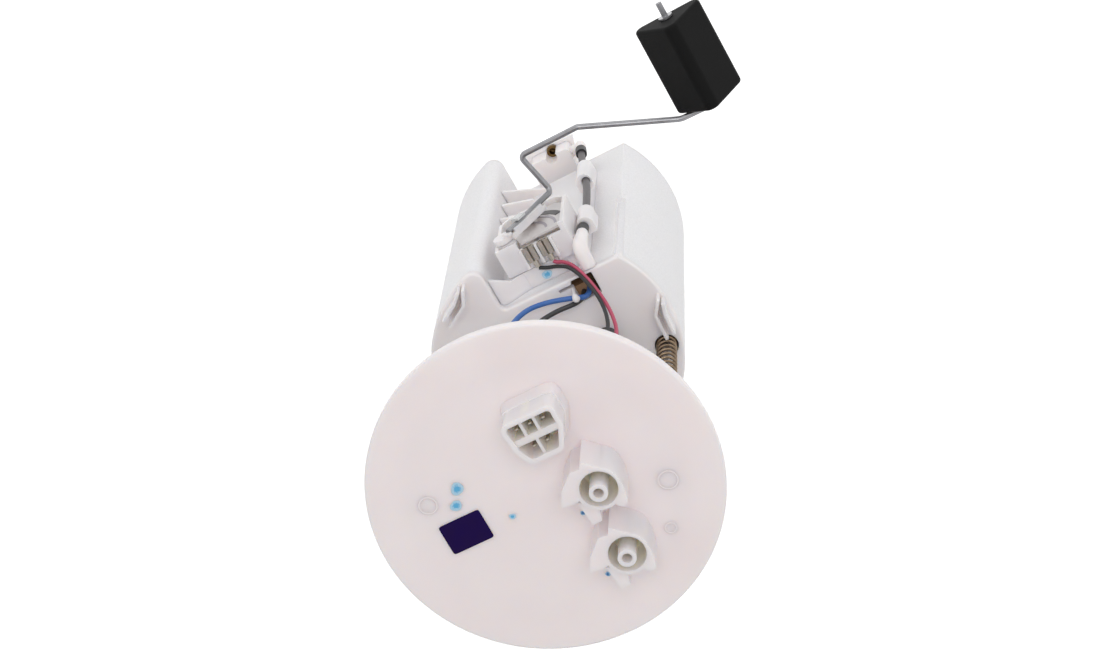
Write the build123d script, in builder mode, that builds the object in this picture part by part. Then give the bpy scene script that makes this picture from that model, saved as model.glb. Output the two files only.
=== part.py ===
from build123d import *
import os
from math import atan2, cos, degrees, pi, radians, sin, sqrt, tan

# Fuel pump module: a round tank flange carries two guide rods, and a sprung swirl pot with the
# electric pump, the jet pump and the level sender slides on them. The origin is the centre of
# the flange's underside, +Z points out of the tank and -Y is the side of the level sender.

# ---- Driving dimensions (mm) -------------------------------------------------------------
SLIDE_GAP = 0.2            # radial gap of the pot's guide holes on the rods
SEAT_GAP = 0.3             # gap between seated pieces that aren't fitted tight

FLANGE_R = 70.0
FLANGE_T = 4.0
FLANGE_EDGE = 1.0
RING_R = 57.0              # locating ring that enters the tank opening
RING_WALL = 2.5
RING_H = 6.0

ROD_BEARING = 160.9        # guide rods stand opposite each other, this far round from +X
ROD_INSET = 7.4            # inside the pot's outer wall
ROD_R = 2.0
ROD_SEAT = 12.0            # depth of the rod in its pilot
ROD_PAD_R = 6.5
ROD_PAD_H = 3.0
PILOT_R = 3.2
SPRING_R = 4.5
SPRING_WIRE = 1.2
SPRING_SEAT_Z = -136.0     # lower seat of the springs
POCKET_R = 5.2
POCKET_WALL = 1.3
POCKET_FLOOR = 4.0
CLIP_T = 1.0
CLIP_R = 4.5
ROD_TAIL = 2.7             # length of rod below its clip

PORT_X = -24.0             # feed port
PORT_Y = 0.0
RETURN_X = -20.8           # return port
RETURN_Y = 29.2
PORT_H = 20.5              # height of the port cups above the flange
PORT_R = 8.8
PORT_BORE_R = 7.4
PORT_FLOOR = 2.0
NIPPLE_R = 3.65
NIPPLE_BORE = 2.0
NIPPLE_H = 24.0
PORT_BLOCK = [(-6.9, -5.2), (1.2, -13.2), (2.8, -10.6), (6.8, -10.8), (13.3, -5.0), (16.5, 0.8), (11.6, 1.4),
              (0, 0)]
PORT_LOBE = [(-8.7, 1.0), (-8.7, 3.8), (-7.2, 10.0), (-5.3, 10.9), (-3.3, 9.4), (0, 0)]
PORT_LUG = [(3.9, 6.0), (5.7, 13.6), (9.8, 13.9), (10.6, 3.0)]
PORT_LUG_DROP = 3.0        # lug below the rim of its port
SPIGOT_L = 12.0            # hose spigots under the flange
HOSE_R = 5.2

SHROUD_H = 19.0            # connector shroud above the flange
SHROUD_WALL = 1.9
SHROUD_ROOT = 3.4          # wider foot of the shroud
SHROUD_ROOT_H = 7.0
SOCKET_EDGE = 1.5
SOCKET = [(-3.7, -37), (-22.4, -37), (-22.4, -29.5), (-18.6, -21.6), (-7.2, -21.6), (-4.7, -26.9)]
SOCKET_FLOOR = 4.0
PIN_W = 1.5
PIN_T = 0.8
PIN_TIP = 15.0             # height of the pins above the flange
PLUG_DEPTH = 12.0
ROW_1_Y = -33.7            # outer row of three pins
ROW_2_Y = -24.8            # inner row of two pins
PIN_PITCH = 5.6
PIN_X = -12.4              # middle of the rows
SEPTUM_T = 2.8
SEPTUM_DROP = 1.5
SEPTUM_L = 24.0
CAVITY_RIB = 1.2
CAVITY_RIB_L = 9.5

POT_R = 54.5
COVER_Z = -122.0           # top face of the pot's cover
COVER_T = 4.0
POT_FOOT_Z = -268.0        # lowest face of the pot
BASE_T = 2.0
POT_WALL = 2.0
POT_FLOOR = 2.5
RECESS_Y = -30.5           # front wall of the recess for the sender
RECESS_X = 10.5            # side wall of the recess
CORNER_GROOVE_INSET = 0.6  # from the corner between the recess and the outer wall
CORNER_GROOVE_W = 3.8
CORNER_GROOVE_D = 2.6
CORNER_GROOVE_L = 69.0
LIP_H = 3.0
LIP_T = 1.5

HATCH_W = 10.2             # opening in the cover above the pump plug
HATCH_L = 10.5
HATCH_X = -26.6
HATCH_Y = -24.25
HOOK_SLOT = 1.4
HOOK_SLOT_L = 6.2
TONGUE_T = 1.3             # snap tongues on the cover's rim
TONGUE_H = 9.0
TONGUES = [(-69.3, 1), (188.3, -1)]          # bearing of the first end and sense of each pair
TONGUE_INNER = [(-1.6, 0), (-6.2, 6), (-5.8, 19.8)]      # offset from the pot's radius, bearing
TONGUE_OUTER = [(-0.9, 2.4), (-2.6, 8), (-2.3, 18.3)]
LOBE_EDGE = 5.0            # rounding of the outline beside the recess
RECESS_EDGE = 3.0

BRACKET_X0 = -31.7         # sender bracket in the recess
BRACKET_X1 = -2.0
BRACKET_Y = -36.0
BRACKET_FOOT_Z = -243.0
BRACKET_WALL = 1.6
SHELF_Z = -132.5           # shelf and sender top
SHELF_T = 2.0
SHELF_X0 = -20.0
SHELF_TIP_X = 2.8
SHELF_EDGE_Y = -38.5
WEB_T = 2.5
WEB_L = 13.9
LEDGE_T = 2.0
LEDGES = [(-234.0, -9.5, -37.0, -45.2), (-220.0, -4.0, -39.5, -43.5), (-202.0, -3.0, -40.5, -43.2)]
TUBE_R = 1.7
TUBE_CLIP_R = 3.7
TUBE_CLIPS = [(-228.0, 20.0, -31.0), (-166.0, 16.0, -33.6)]   # foot, height and x

SENDER_X0 = -29.6
SENDER_X1 = 3.0
SENDER_FOOT_Z = -170.0
SENDER_FRONT_Y = -52.0
SENDER_WALL = 1.6
PIVOT_X = -2.0             # axis of the float arm, along Y
PIVOT_Z = -139.0
HUB_R = 4.4
PIVOT_R = 1.5
PIVOT_L = 10.0
PIVOT_GAP = 0.1
CARD_T = 1.0
CARD_Y = -50.2             # front face of the resistor card
TRACK_T = 0.2
TRACK_INNER_R = 18.5
TRACK_OUTER_R = 23.0
COMB_R = 26.4
COMB_W = 3.0
TRACK_W = 1.2
TERMINAL_W = 4.8
TERMINAL_L = 10.0
TERMINAL_H = 2.4
TERMINAL_T = 0.5
TERMINALS_X = (-11.0, -18.0)
RIBS_X = (-7.4, -14.5, -21.6)
RIB_T = 1.2
RIB_H = 2.6
RIB_L = 8.9

WIRE_R = 1.3
WIRE_Y = -56.6             # plane of the wire in its holder
ARM_Z = -163.5             # plane of the cranked part of the arm
WIRE_BEND = 2.2
WIRE_SWEEP = 8.0           # wide bend towards the float
HOLDER_T = 2.4
CHANNEL_L = 20.0
CAP_T = 2.0
FLOAT_X = -105.1
FLOAT_Y0 = -61.4
FLOAT_L = 41.0
FLOAT_ROUND = 1.5
FLOAT_EDGE = 4.0
FLOAT_BORE_GAP = 0.25
WASHER_R = 3.2
WASHER_T = 0.8
STUB_L = 6.0

PUMP_X = -13.0
PUMP_R = 19.0
PUMP_SHELL = 1.2
PUMP_TOP_Z = -150.0
PUMP_FOOT_Z = -245.0
END_CAP_H = 10.0
INLET_H = 6.0
MAGNET_T = 4.0
AIR_GAP = 0.6
ARMATURE_L = 58.0
SHAFT_R = 1.6
IMPELLER_R = 15.0
IMPELLER_T = 3.0
BLADES = 18
CUSHION_T = 2.0
HOLDER_WALL = 1.5
PUMP_HOLDER_TOP_Z = -205.0
STRAINER_H = 7.0
PIPE_WALL = 1.2

JET_H = 12.0
JET_W = 20.0
JET_L = 13.0
BUSH_R = 2.75
BUSH_BORE = 1.6
COLLAR_R = 2.6
ELBOW_R = 3.3
COLLAR_L = 6.5
LEAD_R = 0.85
PUMP_LEAD_R = 1.15
EARTH_LEAD_R = 1.1

# ---- Derived places ----------------------------------------------------------------------
ROD_CIRCLE = POT_R - ROD_INSET
ROD_X = ROD_CIRCLE * cos(radians(ROD_BEARING))
ROD_Y = ROD_CIRCLE * sin(radians(ROD_BEARING))
RODS = [(ROD_X, ROD_Y), (-ROD_X, -ROD_Y)]
PUMP_Y = RECESS_Y + POT_WALL + 1.0 + HOLDER_WALL + CUSHION_T + PUMP_R
CORNER_GROOVE_X = CORNER_GROOVE_INSET - sqrt(POT_R**2 - RECESS_Y**2)
PORTS = [(PORT_X, PORT_Y), (RETURN_X, RETURN_Y)]
COVER_FOOT_Z = COVER_Z - COVER_T
CUP_FOOT_Z = POT_FOOT_Z + BASE_T
CUP_FLOOR_Z = CUP_FOOT_Z + POT_FLOOR
POCKET_FOOT_Z = SPRING_SEAT_Z - POCKET_FLOOR
END_CAP_Z = PUMP_TOP_Z + END_CAP_H
PIN_ROWS = [(PIN_X + i * PIN_PITCH, ROW_1_Y) for i in (-1, 0, 1)]
PIN_ROWS += [(PIN_X + i * PIN_PITCH, ROW_2_Y) for i in (-0.5, 0.5)]
HOLDER_Y = WIRE_Y + WIRE_R
WIPER_Y = HOLDER_Y + HOLDER_T
FLOAT_Y1 = FLOAT_Y0 - FLOAT_L

os.makedirs("parts", exist_ok=True)
assembly = []


def save(part, name):
    """Label a finished piece and write it as its own STEP file."""
    part.label = name
    assembly.append(part)
    export_step(part, f"parts/{name}.step")


def pot_outline(radius, front, side):
    """C-shaped outline of the pot: a disc less the corner where the sender stands."""
    with BuildSketch(mode=Mode.PRIVATE) as outline:
        Circle(radius)
        with Locations((side, front)):
            Rectangle(2 * radius, 2 * radius, align=(Align.MAX, Align.MAX), mode=Mode.SUBTRACT)
        fillet(outline.vertices().sort_by(Axis.Y)[0], LOBE_EDGE)
        fillet(outline.vertices().sort_by_distance((side, front))[0], RECESS_EDGE)
    return outline.sketch


def route_radii(points):
    """Largest arcs that fit a route: 0.45 of the shorter run over the tangent of half the turn."""
    radii = []
    for before, corner, after in zip(points, points[1:], points[2:]):
        run_in = Vector(*corner) - Vector(*before)
        run_out = Vector(*after) - Vector(*corner)
        turn = radians(run_in.get_angle(run_out))
        radii.append(0.45 * min(run_in.length, run_out.length) / tan(turn / 2))
    return radii


def routed(points, radius):
    """Round tube along a hand-laid route."""
    radii = route_radii(points)
    with BuildPart() as tube:
        with BuildLine() as path:
            FilletPolyline(*points, radius=radii)
        with BuildSketch(Plane(origin=path.line @ 0, z_dir=path.line % 0)):
            Circle(radius)
        sweep(path=path.line)
    expected = pi * radius**2 * path.wires()[0].length
    print("radii", [round(r, 1) for r in radii], "volume ratio", round(tube.part.volume / expected, 4))
    return tube.part


# ---- Mounting flange ---------------------------------------------------------------------
with BuildPart() as mounting_flange:
    with BuildSketch():
        Circle(FLANGE_R)
    extrude(amount=FLANGE_T)
    fillet(mounting_flange.edges().filter_by(GeomType.CIRCLE).sort_by(Axis.Z)[-1], FLANGE_EDGE)
    with BuildSketch():
        Circle(RING_R)
        Circle(RING_R - RING_WALL, mode=Mode.SUBTRACT)
    extrude(amount=-RING_H)
    # rod pilots
    with BuildSketch():
        with Locations(*RODS):
            Circle(ROD_PAD_R)
    extrude(amount=-ROD_PAD_H)
    with BuildSketch():
        with Locations(*RODS):
            Circle(PILOT_R)
    extrude(amount=-ROD_SEAT)
    # quick-connect ports: a cup with a keyed block in front, a lobe beside it and a low lug
    with BuildSketch(Plane.XY.offset(FLANGE_T)):
        with Locations(*PORTS):
            Circle(PORT_R)
            Polygon(*PORT_BLOCK, align=None)
            Polygon(*PORT_LOBE, align=None)
    extrude(amount=PORT_H)
    with BuildSketch(Plane.XY.offset(FLANGE_T)):
        with Locations(*PORTS):
            Polygon(*PORT_LUG, align=None)
    extrude(amount=PORT_H - PORT_LUG_DROP)
    with BuildSketch(Plane.XY.offset(FLANGE_T + PORT_H)):
        with Locations(*PORTS):
            Circle(PORT_BORE_R)
    extrude(amount=PORT_FLOOR - PORT_H, mode=Mode.SUBTRACT)
    with BuildSketch(Plane.XY.offset(FLANGE_T)):
        with Locations(*PORTS):
            Circle(NIPPLE_R)
    extrude(amount=NIPPLE_H)
    with BuildSketch():
        with Locations(*PORTS):
            Circle(NIPPLE_R)
    extrude(amount=-SPIGOT_L)
    # connector shroud: straight outer side, one slanted flank, two rows of cavities
    with BuildSketch(Plane.XY.offset(FLANGE_T)) as shroud:
        Polygon(*SOCKET, align=None)
        fillet(shroud.vertices(), SOCKET_EDGE)
        offset(amount=SHROUD_WALL, kind=Kind.ARC)
    extrude(amount=SHROUD_H)
    with BuildSketch(Plane.XY.offset(FLANGE_T)) as shroud_root:
        Polygon(*SOCKET, align=None)
        fillet(shroud_root.vertices(), SOCKET_EDGE)
        offset(amount=SHROUD_ROOT, kind=Kind.ARC)
    extrude(amount=SHROUD_ROOT_H, taper=8)
    with BuildSketch(Plane.XY.offset(FLANGE_T + SOCKET_FLOOR)) as cavity:
        Polygon(*SOCKET, align=None)
        fillet(cavity.vertices(), SOCKET_EDGE)
        with Locations((PIN_X, (ROW_1_Y + ROW_2_Y) / 2)):
            Rectangle(SEPTUM_L, SEPTUM_T, mode=Mode.SUBTRACT)
        with Locations((PIN_X - PIN_PITCH / 2, ROW_1_Y), (PIN_X + PIN_PITCH / 2, ROW_1_Y), (PIN_X, ROW_2_Y)):
            Rectangle(CAVITY_RIB, CAVITY_RIB_L, mode=Mode.SUBTRACT)
    extrude(amount=SHROUD_H, mode=Mode.SUBTRACT)
    with BuildSketch(Plane.XY.offset(FLANGE_T + SHROUD_H - SEPTUM_DROP)) as mouth:
        Polygon(*SOCKET, align=None)
        fillet(mouth.vertices(), SOCKET_EDGE)
    extrude(amount=SHROUD_H, mode=Mode.SUBTRACT)
    # bores: rods, fuel and pins
    with BuildSketch(Plane.XY.offset(-ROD_SEAT)):
        with Locations(*RODS):
            Circle(ROD_R)
    extrude(amount=ROD_SEAT, mode=Mode.SUBTRACT)
    with BuildSketch(Plane.XY.offset(-SPIGOT_L)):
        with Locations(*PORTS):
            Circle(NIPPLE_BORE)
    extrude(amount=SPIGOT_L + FLANGE_T + NIPPLE_H, mode=Mode.SUBTRACT)
    with BuildSketch():
        with Locations(*PIN_ROWS):
            Rectangle(PIN_W, PIN_T)
    extrude(amount=FLANGE_T + SOCKET_FLOOR, mode=Mode.SUBTRACT)
save(mounting_flange.part, "mounting_flange")

with BuildPart() as connector_pins:
    with BuildSketch(Plane.XY.offset(-PLUG_DEPTH / 2)):
        with Locations(*PIN_ROWS):
            Rectangle(PIN_W, PIN_T)
    extrude(amount=PLUG_DEPTH / 2 + FLANGE_T + PIN_TIP)
    chamfer(connector_pins.faces().filter_by(Axis.Z).group_by(Axis.Z)[-1].edges(), 0.25)
save(connector_pins.part, "connector_pins")

PLUG_W = 3 * PIN_PITCH + 3
PLUG_L = ROW_2_Y - ROW_1_Y + 6
with BuildPart() as lead_connector:
    with BuildSketch():
        with Locations((PIN_X, (ROW_1_Y + ROW_2_Y) / 2)):
            RectangleRounded(PLUG_W, PLUG_L, 1.5)
    extrude(amount=-PLUG_DEPTH)
    with BuildSketch(Plane.XY.offset(-4)):
        with Locations((PIN_X, (ROW_1_Y + ROW_2_Y) / 2)):
            RectangleRounded(PLUG_W + 2.4, PLUG_L + 2.4, 1.5)
            RectangleRounded(PLUG_W, PLUG_L, 1.5, mode=Mode.SUBTRACT)
    extrude(amount=-3)
    with BuildSketch():
        with Locations(*PIN_ROWS):
            Rectangle(PIN_W, PIN_T)
    extrude(amount=-PLUG_DEPTH / 2, mode=Mode.SUBTRACT)
save(lead_connector.part, "lead_connector")

# ---- Guide rods, their clips and the springs ---------------------------------------------
CLIP_Z = POCKET_FOOT_Z - SEAT_GAP
for side, (x, y) in zip(("right", "left"), RODS):
    with BuildPart() as rod:
        with BuildSketch():
            with Locations((x, y)):
                Circle(ROD_R)
        extrude(amount=CLIP_Z - CLIP_T - ROD_TAIL)
        chamfer(rod.edges().sort_by(Axis.Z)[0], 0.5)
        with BuildSketch(Plane.XY.offset(CLIP_Z)):
            with Locations((x, y)):
                Circle(ROD_R)
                Circle(ROD_R - 0.5, mode=Mode.SUBTRACT)
        extrude(amount=-CLIP_T, mode=Mode.SUBTRACT)
    save(rod.part, f"guide_rod_{side}")
    with BuildPart() as spring:
        with BuildSketch(Plane.XY.offset(SPRING_SEAT_Z)):
            with Locations((x, y)):
                Circle(SPRING_R)
                Circle(SPRING_R - SPRING_WIRE, mode=Mode.SUBTRACT)
        extrude(amount=-ROD_PAD_H - SPRING_SEAT_Z)
    save(spring.part, f"spring_{side}")

with BuildPart() as rod_clips:
    with BuildSketch(Plane.XY.offset(CLIP_Z)):
        with Locations(*RODS):
            Circle(CLIP_R)
            Circle(ROD_R - 0.5, mode=Mode.SUBTRACT)
        with Locations(*[(x, y - CLIP_R / 2 - 0.4) for x, y in RODS]):
            Rectangle(2 * ROD_R - 1.2, CLIP_R, mode=Mode.SUBTRACT)
    extrude(amount=-CLIP_T)
save(rod_clips.part, "rod_clips")

# ---- Pot cover ---------------------------------------------------------------------------
with BuildPart() as reservoir_cover:
    with BuildSketch(Plane.XY.offset(COVER_FOOT_Z)):
        add(pot_outline(POT_R, RECESS_Y, RECESS_X))
    extrude(amount=COVER_T)
    fillet(reservoir_cover.edges().filter_by(GeomType.CIRCLE).group_by(Axis.Z)[-1], 1.0)
    # locating lip inside the cup
    with BuildSketch(Plane.XY.offset(COVER_FOOT_Z)) as lip:
        add(pot_outline(POT_R, RECESS_Y, RECESS_X))
        offset(amount=-POT_WALL - SEAT_GAP, kind=Kind.INTERSECTION, mode=Mode.REPLACE)
        offset(amount=-LIP_T, kind=Kind.INTERSECTION, mode=Mode.SUBTRACT)
    extrude(amount=-LIP_H)
    # spring pockets
    with BuildSketch(Plane.XY.offset(COVER_FOOT_Z)) as wells:
        with Locations(*RODS):
            Circle(POCKET_R + POCKET_WALL)
        Circle(POT_R - POT_WALL - SEAT_GAP, mode=Mode.INTERSECT)
    extrude(amount=POCKET_FOOT_Z - COVER_FOOT_Z)
    with BuildSketch(Plane.XY.offset(COVER_Z)):
        with Locations(*RODS):
            Circle(POCKET_R)
    extrude(amount=SPRING_SEAT_Z - COVER_Z, mode=Mode.SUBTRACT)
    with BuildSketch(Plane.XY.offset(COVER_Z)):
        with Locations(*RODS):
            Circle(ROD_R + SLIDE_GAP)
    extrude(amount=POCKET_FOOT_Z - COVER_Z, mode=Mode.SUBTRACT)
    # hatch over the pump plug and the slots beside its two wire hooks
    with BuildSketch(Plane.XY.offset(COVER_Z)):
        with Locations((HATCH_X, HATCH_Y)):
            RectangleRounded(HATCH_W, HATCH_L, 0.8)
        with Locations((HATCH_X + HATCH_W / 2 - 0.5, HATCH_Y - HATCH_L / 2 + 2.2)):
            Rectangle(HOOK_SLOT_L + 0.5, HOOK_SLOT, align=(Align.MIN, Align.CENTER))
        with Locations((HATCH_X + HATCH_W / 2 - 0.5, HATCH_Y + HATCH_L / 2 - 0.7)):
            Rectangle(HOOK_SLOT_L + 0.5, HOOK_SLOT, align=(Align.MIN, Align.CENTER))
    extrude(amount=-COVER_T - LIP_H, mode=Mode.SUBTRACT)
    # pairs of snap tongues that stand on the rim beside the recess
    with BuildSketch(Plane.XY.offset(COVER_Z)):
        for bearing, sense in TONGUES:
            for tongue in (TONGUE_INNER, TONGUE_OUTER):
                corners = []
                for inset, turn in tongue:
                    angle = radians(bearing + sense * turn)
                    corners.append(((POT_R + inset) * cos(angle), (POT_R + inset) * sin(angle)))
                with BuildLine():
                    Polyline(*corners)
                trace(line_width=TONGUE_T)
    extrude(amount=TONGUE_H)
    # hose stubs above and below the cover
    with BuildSketch(Plane.XY.offset(COVER_Z + SPIGOT_L)):
        with Locations(*PORTS):
            Circle(NIPPLE_R)
    extrude(amount=-2 * SPIGOT_L + 3)
    with BuildSketch(Plane.XY.offset(COVER_Z + SPIGOT_L)):
        with Locations(*PORTS):
            Circle(NIPPLE_BORE)
    extrude(amount=-2 * SPIGOT_L + 3, mode=Mode.SUBTRACT)
save(reservoir_cover.part, "reservoir_cover")

# ---- Cup of the pot ----------------------------------------------------------------------
VALVE_X = 18.0
VALVE_Y = 14.0
VALVE_R = 7.0
with BuildPart() as reservoir_cup:
    with BuildSketch(Plane.XY.offset(CUP_FOOT_Z)) as cup_foot:
        add(pot_outline(POT_R, RECESS_Y, RECESS_X))
    extrude(amount=COVER_FOOT_Z - CUP_FOOT_Z)
    with BuildSketch(Plane.XY.offset(CUP_FLOOR_Z)):
        add(pot_outline(POT_R, RECESS_Y, RECESS_X))
        offset(amount=-POT_WALL, kind=Kind.INTERSECTION, mode=Mode.REPLACE)
    extrude(amount=COVER_FOOT_Z - CUP_FLOOR_Z, mode=Mode.SUBTRACT)
    # corner groove, with the wall carried round it on the inside
    with BuildSketch(Plane.XY.offset(COVER_FOOT_Z - CORNER_GROOVE_L - POT_WALL)):
        with Locations((CORNER_GROOVE_X, RECESS_Y)):
            Rectangle(CORNER_GROOVE_W + 2 * POT_WALL, 2 * (CORNER_GROOVE_D + POT_WALL))
        add(pot_outline(POT_R, RECESS_Y, RECESS_X), mode=Mode.INTERSECT)
    extrude(amount=CORNER_GROOVE_L + POT_WALL - LIP_H)
    with BuildSketch(Plane.XY.offset(COVER_FOOT_Z)):
        with Locations((CORNER_GROOVE_X, RECESS_Y)):
            Rectangle(CORNER_GROOVE_W, 2 * CORNER_GROOVE_D)
    extrude(amount=-CORNER_GROOVE_L, mode=Mode.SUBTRACT)
    # inlet ports under the umbrella valve
    with BuildSketch(Plane.XY.offset(CUP_FOOT_Z)):
        with Locations((VALVE_X, VALVE_Y)):
            Circle(1.5)
            with PolarLocations(4, 6):
                Circle(1.4)
    extrude(amount=POT_FLOOR, mode=Mode.SUBTRACT)
save(reservoir_cup.part, "reservoir_cup")

JET_BRACKET = [(-2.7, RECESS_Y + 1), (-21.1, RECESS_Y + 1), (-26, RECESS_Y - 15.2), (1.4, RECESS_Y - 16.7)]
BUSH_X = -14.1
BUSH_Y = RECESS_Y - 12.8
with BuildPart() as base_plate:
    with BuildSketch(Plane.XY.offset(POT_FOOT_Z)):
        add(pot_outline(POT_R, RECESS_Y, RECESS_X))
        Polygon(*JET_BRACKET, align=None)
        with Locations((BUSH_X, BUSH_Y)):
            Circle(BUSH_R, mode=Mode.SUBTRACT)
        with Locations((VALVE_X, VALVE_Y)):
            Circle(VALVE_R, mode=Mode.SUBTRACT)
    extrude(amount=BASE_T)
save(base_plate.part, "base_plate")

with BuildPart() as bracket_bush:
    with BuildSketch(Plane.XY.offset(POT_FOOT_Z)):
        with Locations((BUSH_X, BUSH_Y)):
            Circle(BUSH_R)
            Circle(BUSH_BORE, mode=Mode.SUBTRACT)
    extrude(amount=BASE_T + 2)
save(bracket_bush.part, "bracket_bush")

with BuildPart() as inlet_valve:
    with BuildSketch(Plane.XY.offset(CUP_FLOOR_Z)):
        with Locations((VALVE_X, VALVE_Y)):
            Circle(VALVE_R - 0.5)
    extrude(amount=0.8, taper=20)
    with BuildSketch(Plane.XY.offset(CUP_FLOOR_Z)):
        with Locations((VALVE_X, VALVE_Y)):
            Circle(1.5)
    extrude(amount=-POT_FLOOR)
    with BuildSketch(Plane.XY.offset(CUP_FOOT_Z)):
        with Locations((VALVE_X, VALVE_Y)):
            Circle(2.3)
    extrude(amount=-1.2)
save(inlet_valve.part, "inlet_valve")

# ---- Jet pump on the base ----------------------------------------------------------------
TUBE_Y = -40.0
TUBE_ROUTE = [(-27.8, TUBE_Y, -256.2), (-29.9, TUBE_Y, -228), (-32.9, TUBE_Y, -200), (-33.5, TUBE_Y, -168),
              (-32.4, TUBE_Y, -142)]
JET_Y = RECESS_Y - 7.5
JET_X = -13.0
with BuildPart() as jet_pump:
    with BuildSketch(Plane.XY.offset(CUP_FOOT_Z)):
        with Locations((JET_X, JET_Y)):
            RectangleRounded(JET_W, JET_L, 2)
        with Locations((BUSH_X, BUSH_Y)):
            Circle(BUSH_R, mode=Mode.SUBTRACT)
    extrude(amount=JET_H)
    with BuildSketch(Plane(origin=(-22, -40, CUP_FOOT_Z + 5), z_dir=(-1, 0, 0))):
        Circle(2.6)
    extrude(amount=6.8)
    with BuildSketch(Plane(origin=TUBE_ROUTE[0], z_dir=Vector(*TUBE_ROUTE[1]) - Vector(*TUBE_ROUTE[0]))):
        Circle(2.6)
    extrude(amount=-7)
save(jet_pump.part, "jet_pump")

with BuildPart() as transfer_tube:
    add(routed(TUBE_ROUTE, TUBE_R))
save(transfer_tube.part, "transfer_tube")

with BuildPart() as tube_collars:
    for start, end in ((TUBE_ROUTE[0], TUBE_ROUTE[1]), (TUBE_ROUTE[-1], TUBE_ROUTE[-2])):
        axis = Vector(*end) - Vector(*start)
        with BuildSketch(Plane(origin=start, z_dir=axis)):
            Circle(COLLAR_R)
            Circle(TUBE_R, mode=Mode.SUBTRACT)
        extrude(amount=COLLAR_L)
save(tube_collars.part, "tube_collars")

ELBOW_AXIS = (Vector(*TUBE_ROUTE[-1]) - Vector(*TUBE_ROUTE[-2])).normalized()
ELBOW_WAIST = Vector(*TUBE_ROUTE[-1]) + ELBOW_AXIS * 10
ELBOW_TOP = Vector(*TUBE_ROUTE[-1]) + ELBOW_AXIS * 15.5
with BuildPart() as elbow_fitting:
    with BuildSketch(Plane(origin=TUBE_ROUTE[-1], z_dir=ELBOW_AXIS)):
        Circle(COLLAR_R)
    with BuildSketch(Plane(origin=ELBOW_WAIST, z_dir=ELBOW_AXIS)):
        Circle(ELBOW_R)
    loft()
    with BuildLine() as elbow_path:
        FilletPolyline(tuple(ELBOW_WAIST), tuple(ELBOW_TOP), (-31.4, RECESS_Y, -124.6), radius=ELBOW_R + 0.4)
    with BuildSketch(Plane(origin=ELBOW_WAIST, z_dir=ELBOW_AXIS)):
        Circle(ELBOW_R)
    sweep(path=elbow_path.line)
    split(bisect_by=Plane(origin=(0, RECESS_Y, 0), z_dir=(0, -1, 0)), keep=Keep.TOP)
    # flat beside the sender
    with BuildSketch(Plane.XY.offset(SHELF_Z + SEAT_GAP)):
        with Locations((SENDER_X0 - SEAT_GAP, RECESS_Y)):
            Rectangle(2 * ELBOW_R, RECESS_Y - SENDER_FRONT_Y, align=(Align.MIN, Align.MAX))
    extrude(amount=SENDER_FOOT_Z - SHELF_Z, mode=Mode.SUBTRACT)
save(elbow_fitting.part, "elbow_fitting")

# ---- Sender bracket ----------------------------------------------------------------------
with BuildPart() as sender_bracket:
    with BuildSketch(Plane.XY.offset(BRACKET_FOOT_Z)):
        with Locations((BRACKET_X0, BRACKET_Y)):
            Rectangle(BRACKET_X1 - BRACKET_X0, RECESS_Y - BRACKET_Y, align=(Align.MIN, Align.MIN))
    extrude(amount=SHELF_Z - BRACKET_FOOT_Z)
    with BuildSketch(Plane.XY.offset(BRACKET_FOOT_Z)):
        with Locations((BRACKET_X0 + BRACKET_WALL, BRACKET_Y + BRACKET_WALL)):
            Rectangle(BRACKET_X1 - BRACKET_X0 - 2 * BRACKET_WALL, RECESS_Y - BRACKET_Y,
                      align=(Align.MIN, Align.MIN))
    extrude(amount=SHELF_Z - SHELF_T - BRACKET_FOOT_Z, mode=Mode.SUBTRACT)
    # shelf under the leads
    with BuildSketch(Plane.XY.offset(SHELF_Z - SHELF_T)):
        Polygon((SHELF_X0, RECESS_Y), (-3.5, RECESS_Y), (SHELF_TIP_X, SHELF_EDGE_Y), (SHELF_X0, SHELF_EDGE_Y),
                align=None)
    extrude(amount=SHELF_T)
    # web that slopes down from the cover to the shelf
    with BuildSketch(Plane.XZ.offset(-RECESS_Y)):
        Polygon((-3.5, SHELF_Z), (RECESS_X - SEAT_GAP, COVER_FOOT_Z - SEAT_GAP),
                (RECESS_X - SEAT_GAP, COVER_FOOT_Z - WEB_T), (-3.5, SHELF_Z - SHELF_T), align=None)
    extrude(amount=WEB_L)
    with BuildSketch(Plane.XY.offset(SHELF_Z - SHELF_T)):
        Polygon((-4, SHELF_EDGE_Y), (SHELF_TIP_X, SHELF_EDGE_Y), (RECESS_X, RECESS_Y - WEB_L),
                (-4, RECESS_Y - WEB_L), align=None)
    extrude(amount=COVER_FOOT_Z - SHELF_Z + SHELF_T, mode=Mode.SUBTRACT)
    # three stepped ledges beside the bracket
    for z, tip_x, tip_y, edge_y in LEDGES:
        with BuildSketch(Plane.XY.offset(z - LEDGE_T)):
            Polygon((RECESS_X - SEAT_GAP, RECESS_Y), (RECESS_X - SEAT_GAP, edge_y), (tip_x, tip_y),
                    (tip_x, RECESS_Y), align=None)
        extrude(amount=LEDGE_T)
    # clips that hold the transfer tube beside the bracket
    for z, height, x in TUBE_CLIPS:
        with BuildSketch(Plane.XY.offset(z)):
            with Locations((x, TUBE_Y)):
                Circle(TUBE_CLIP_R)
                Rectangle(2 * TUBE_CLIP_R, BRACKET_Y - TUBE_Y + 0.4, align=(Align.CENTER, Align.MIN))
        extrude(amount=height)
    add(routed(TUBE_ROUTE, TUBE_R + SEAT_GAP), mode=Mode.SUBTRACT)
    # the ledges and the web follow the rounded corner of the recess
    with BuildSketch(Plane.XY.offset(BRACKET_FOOT_Z)):
        add(pot_outline(POT_R, RECESS_Y, RECESS_X))
    extrude(amount=COVER_Z - BRACKET_FOOT_Z, mode=Mode.SUBTRACT)
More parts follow.
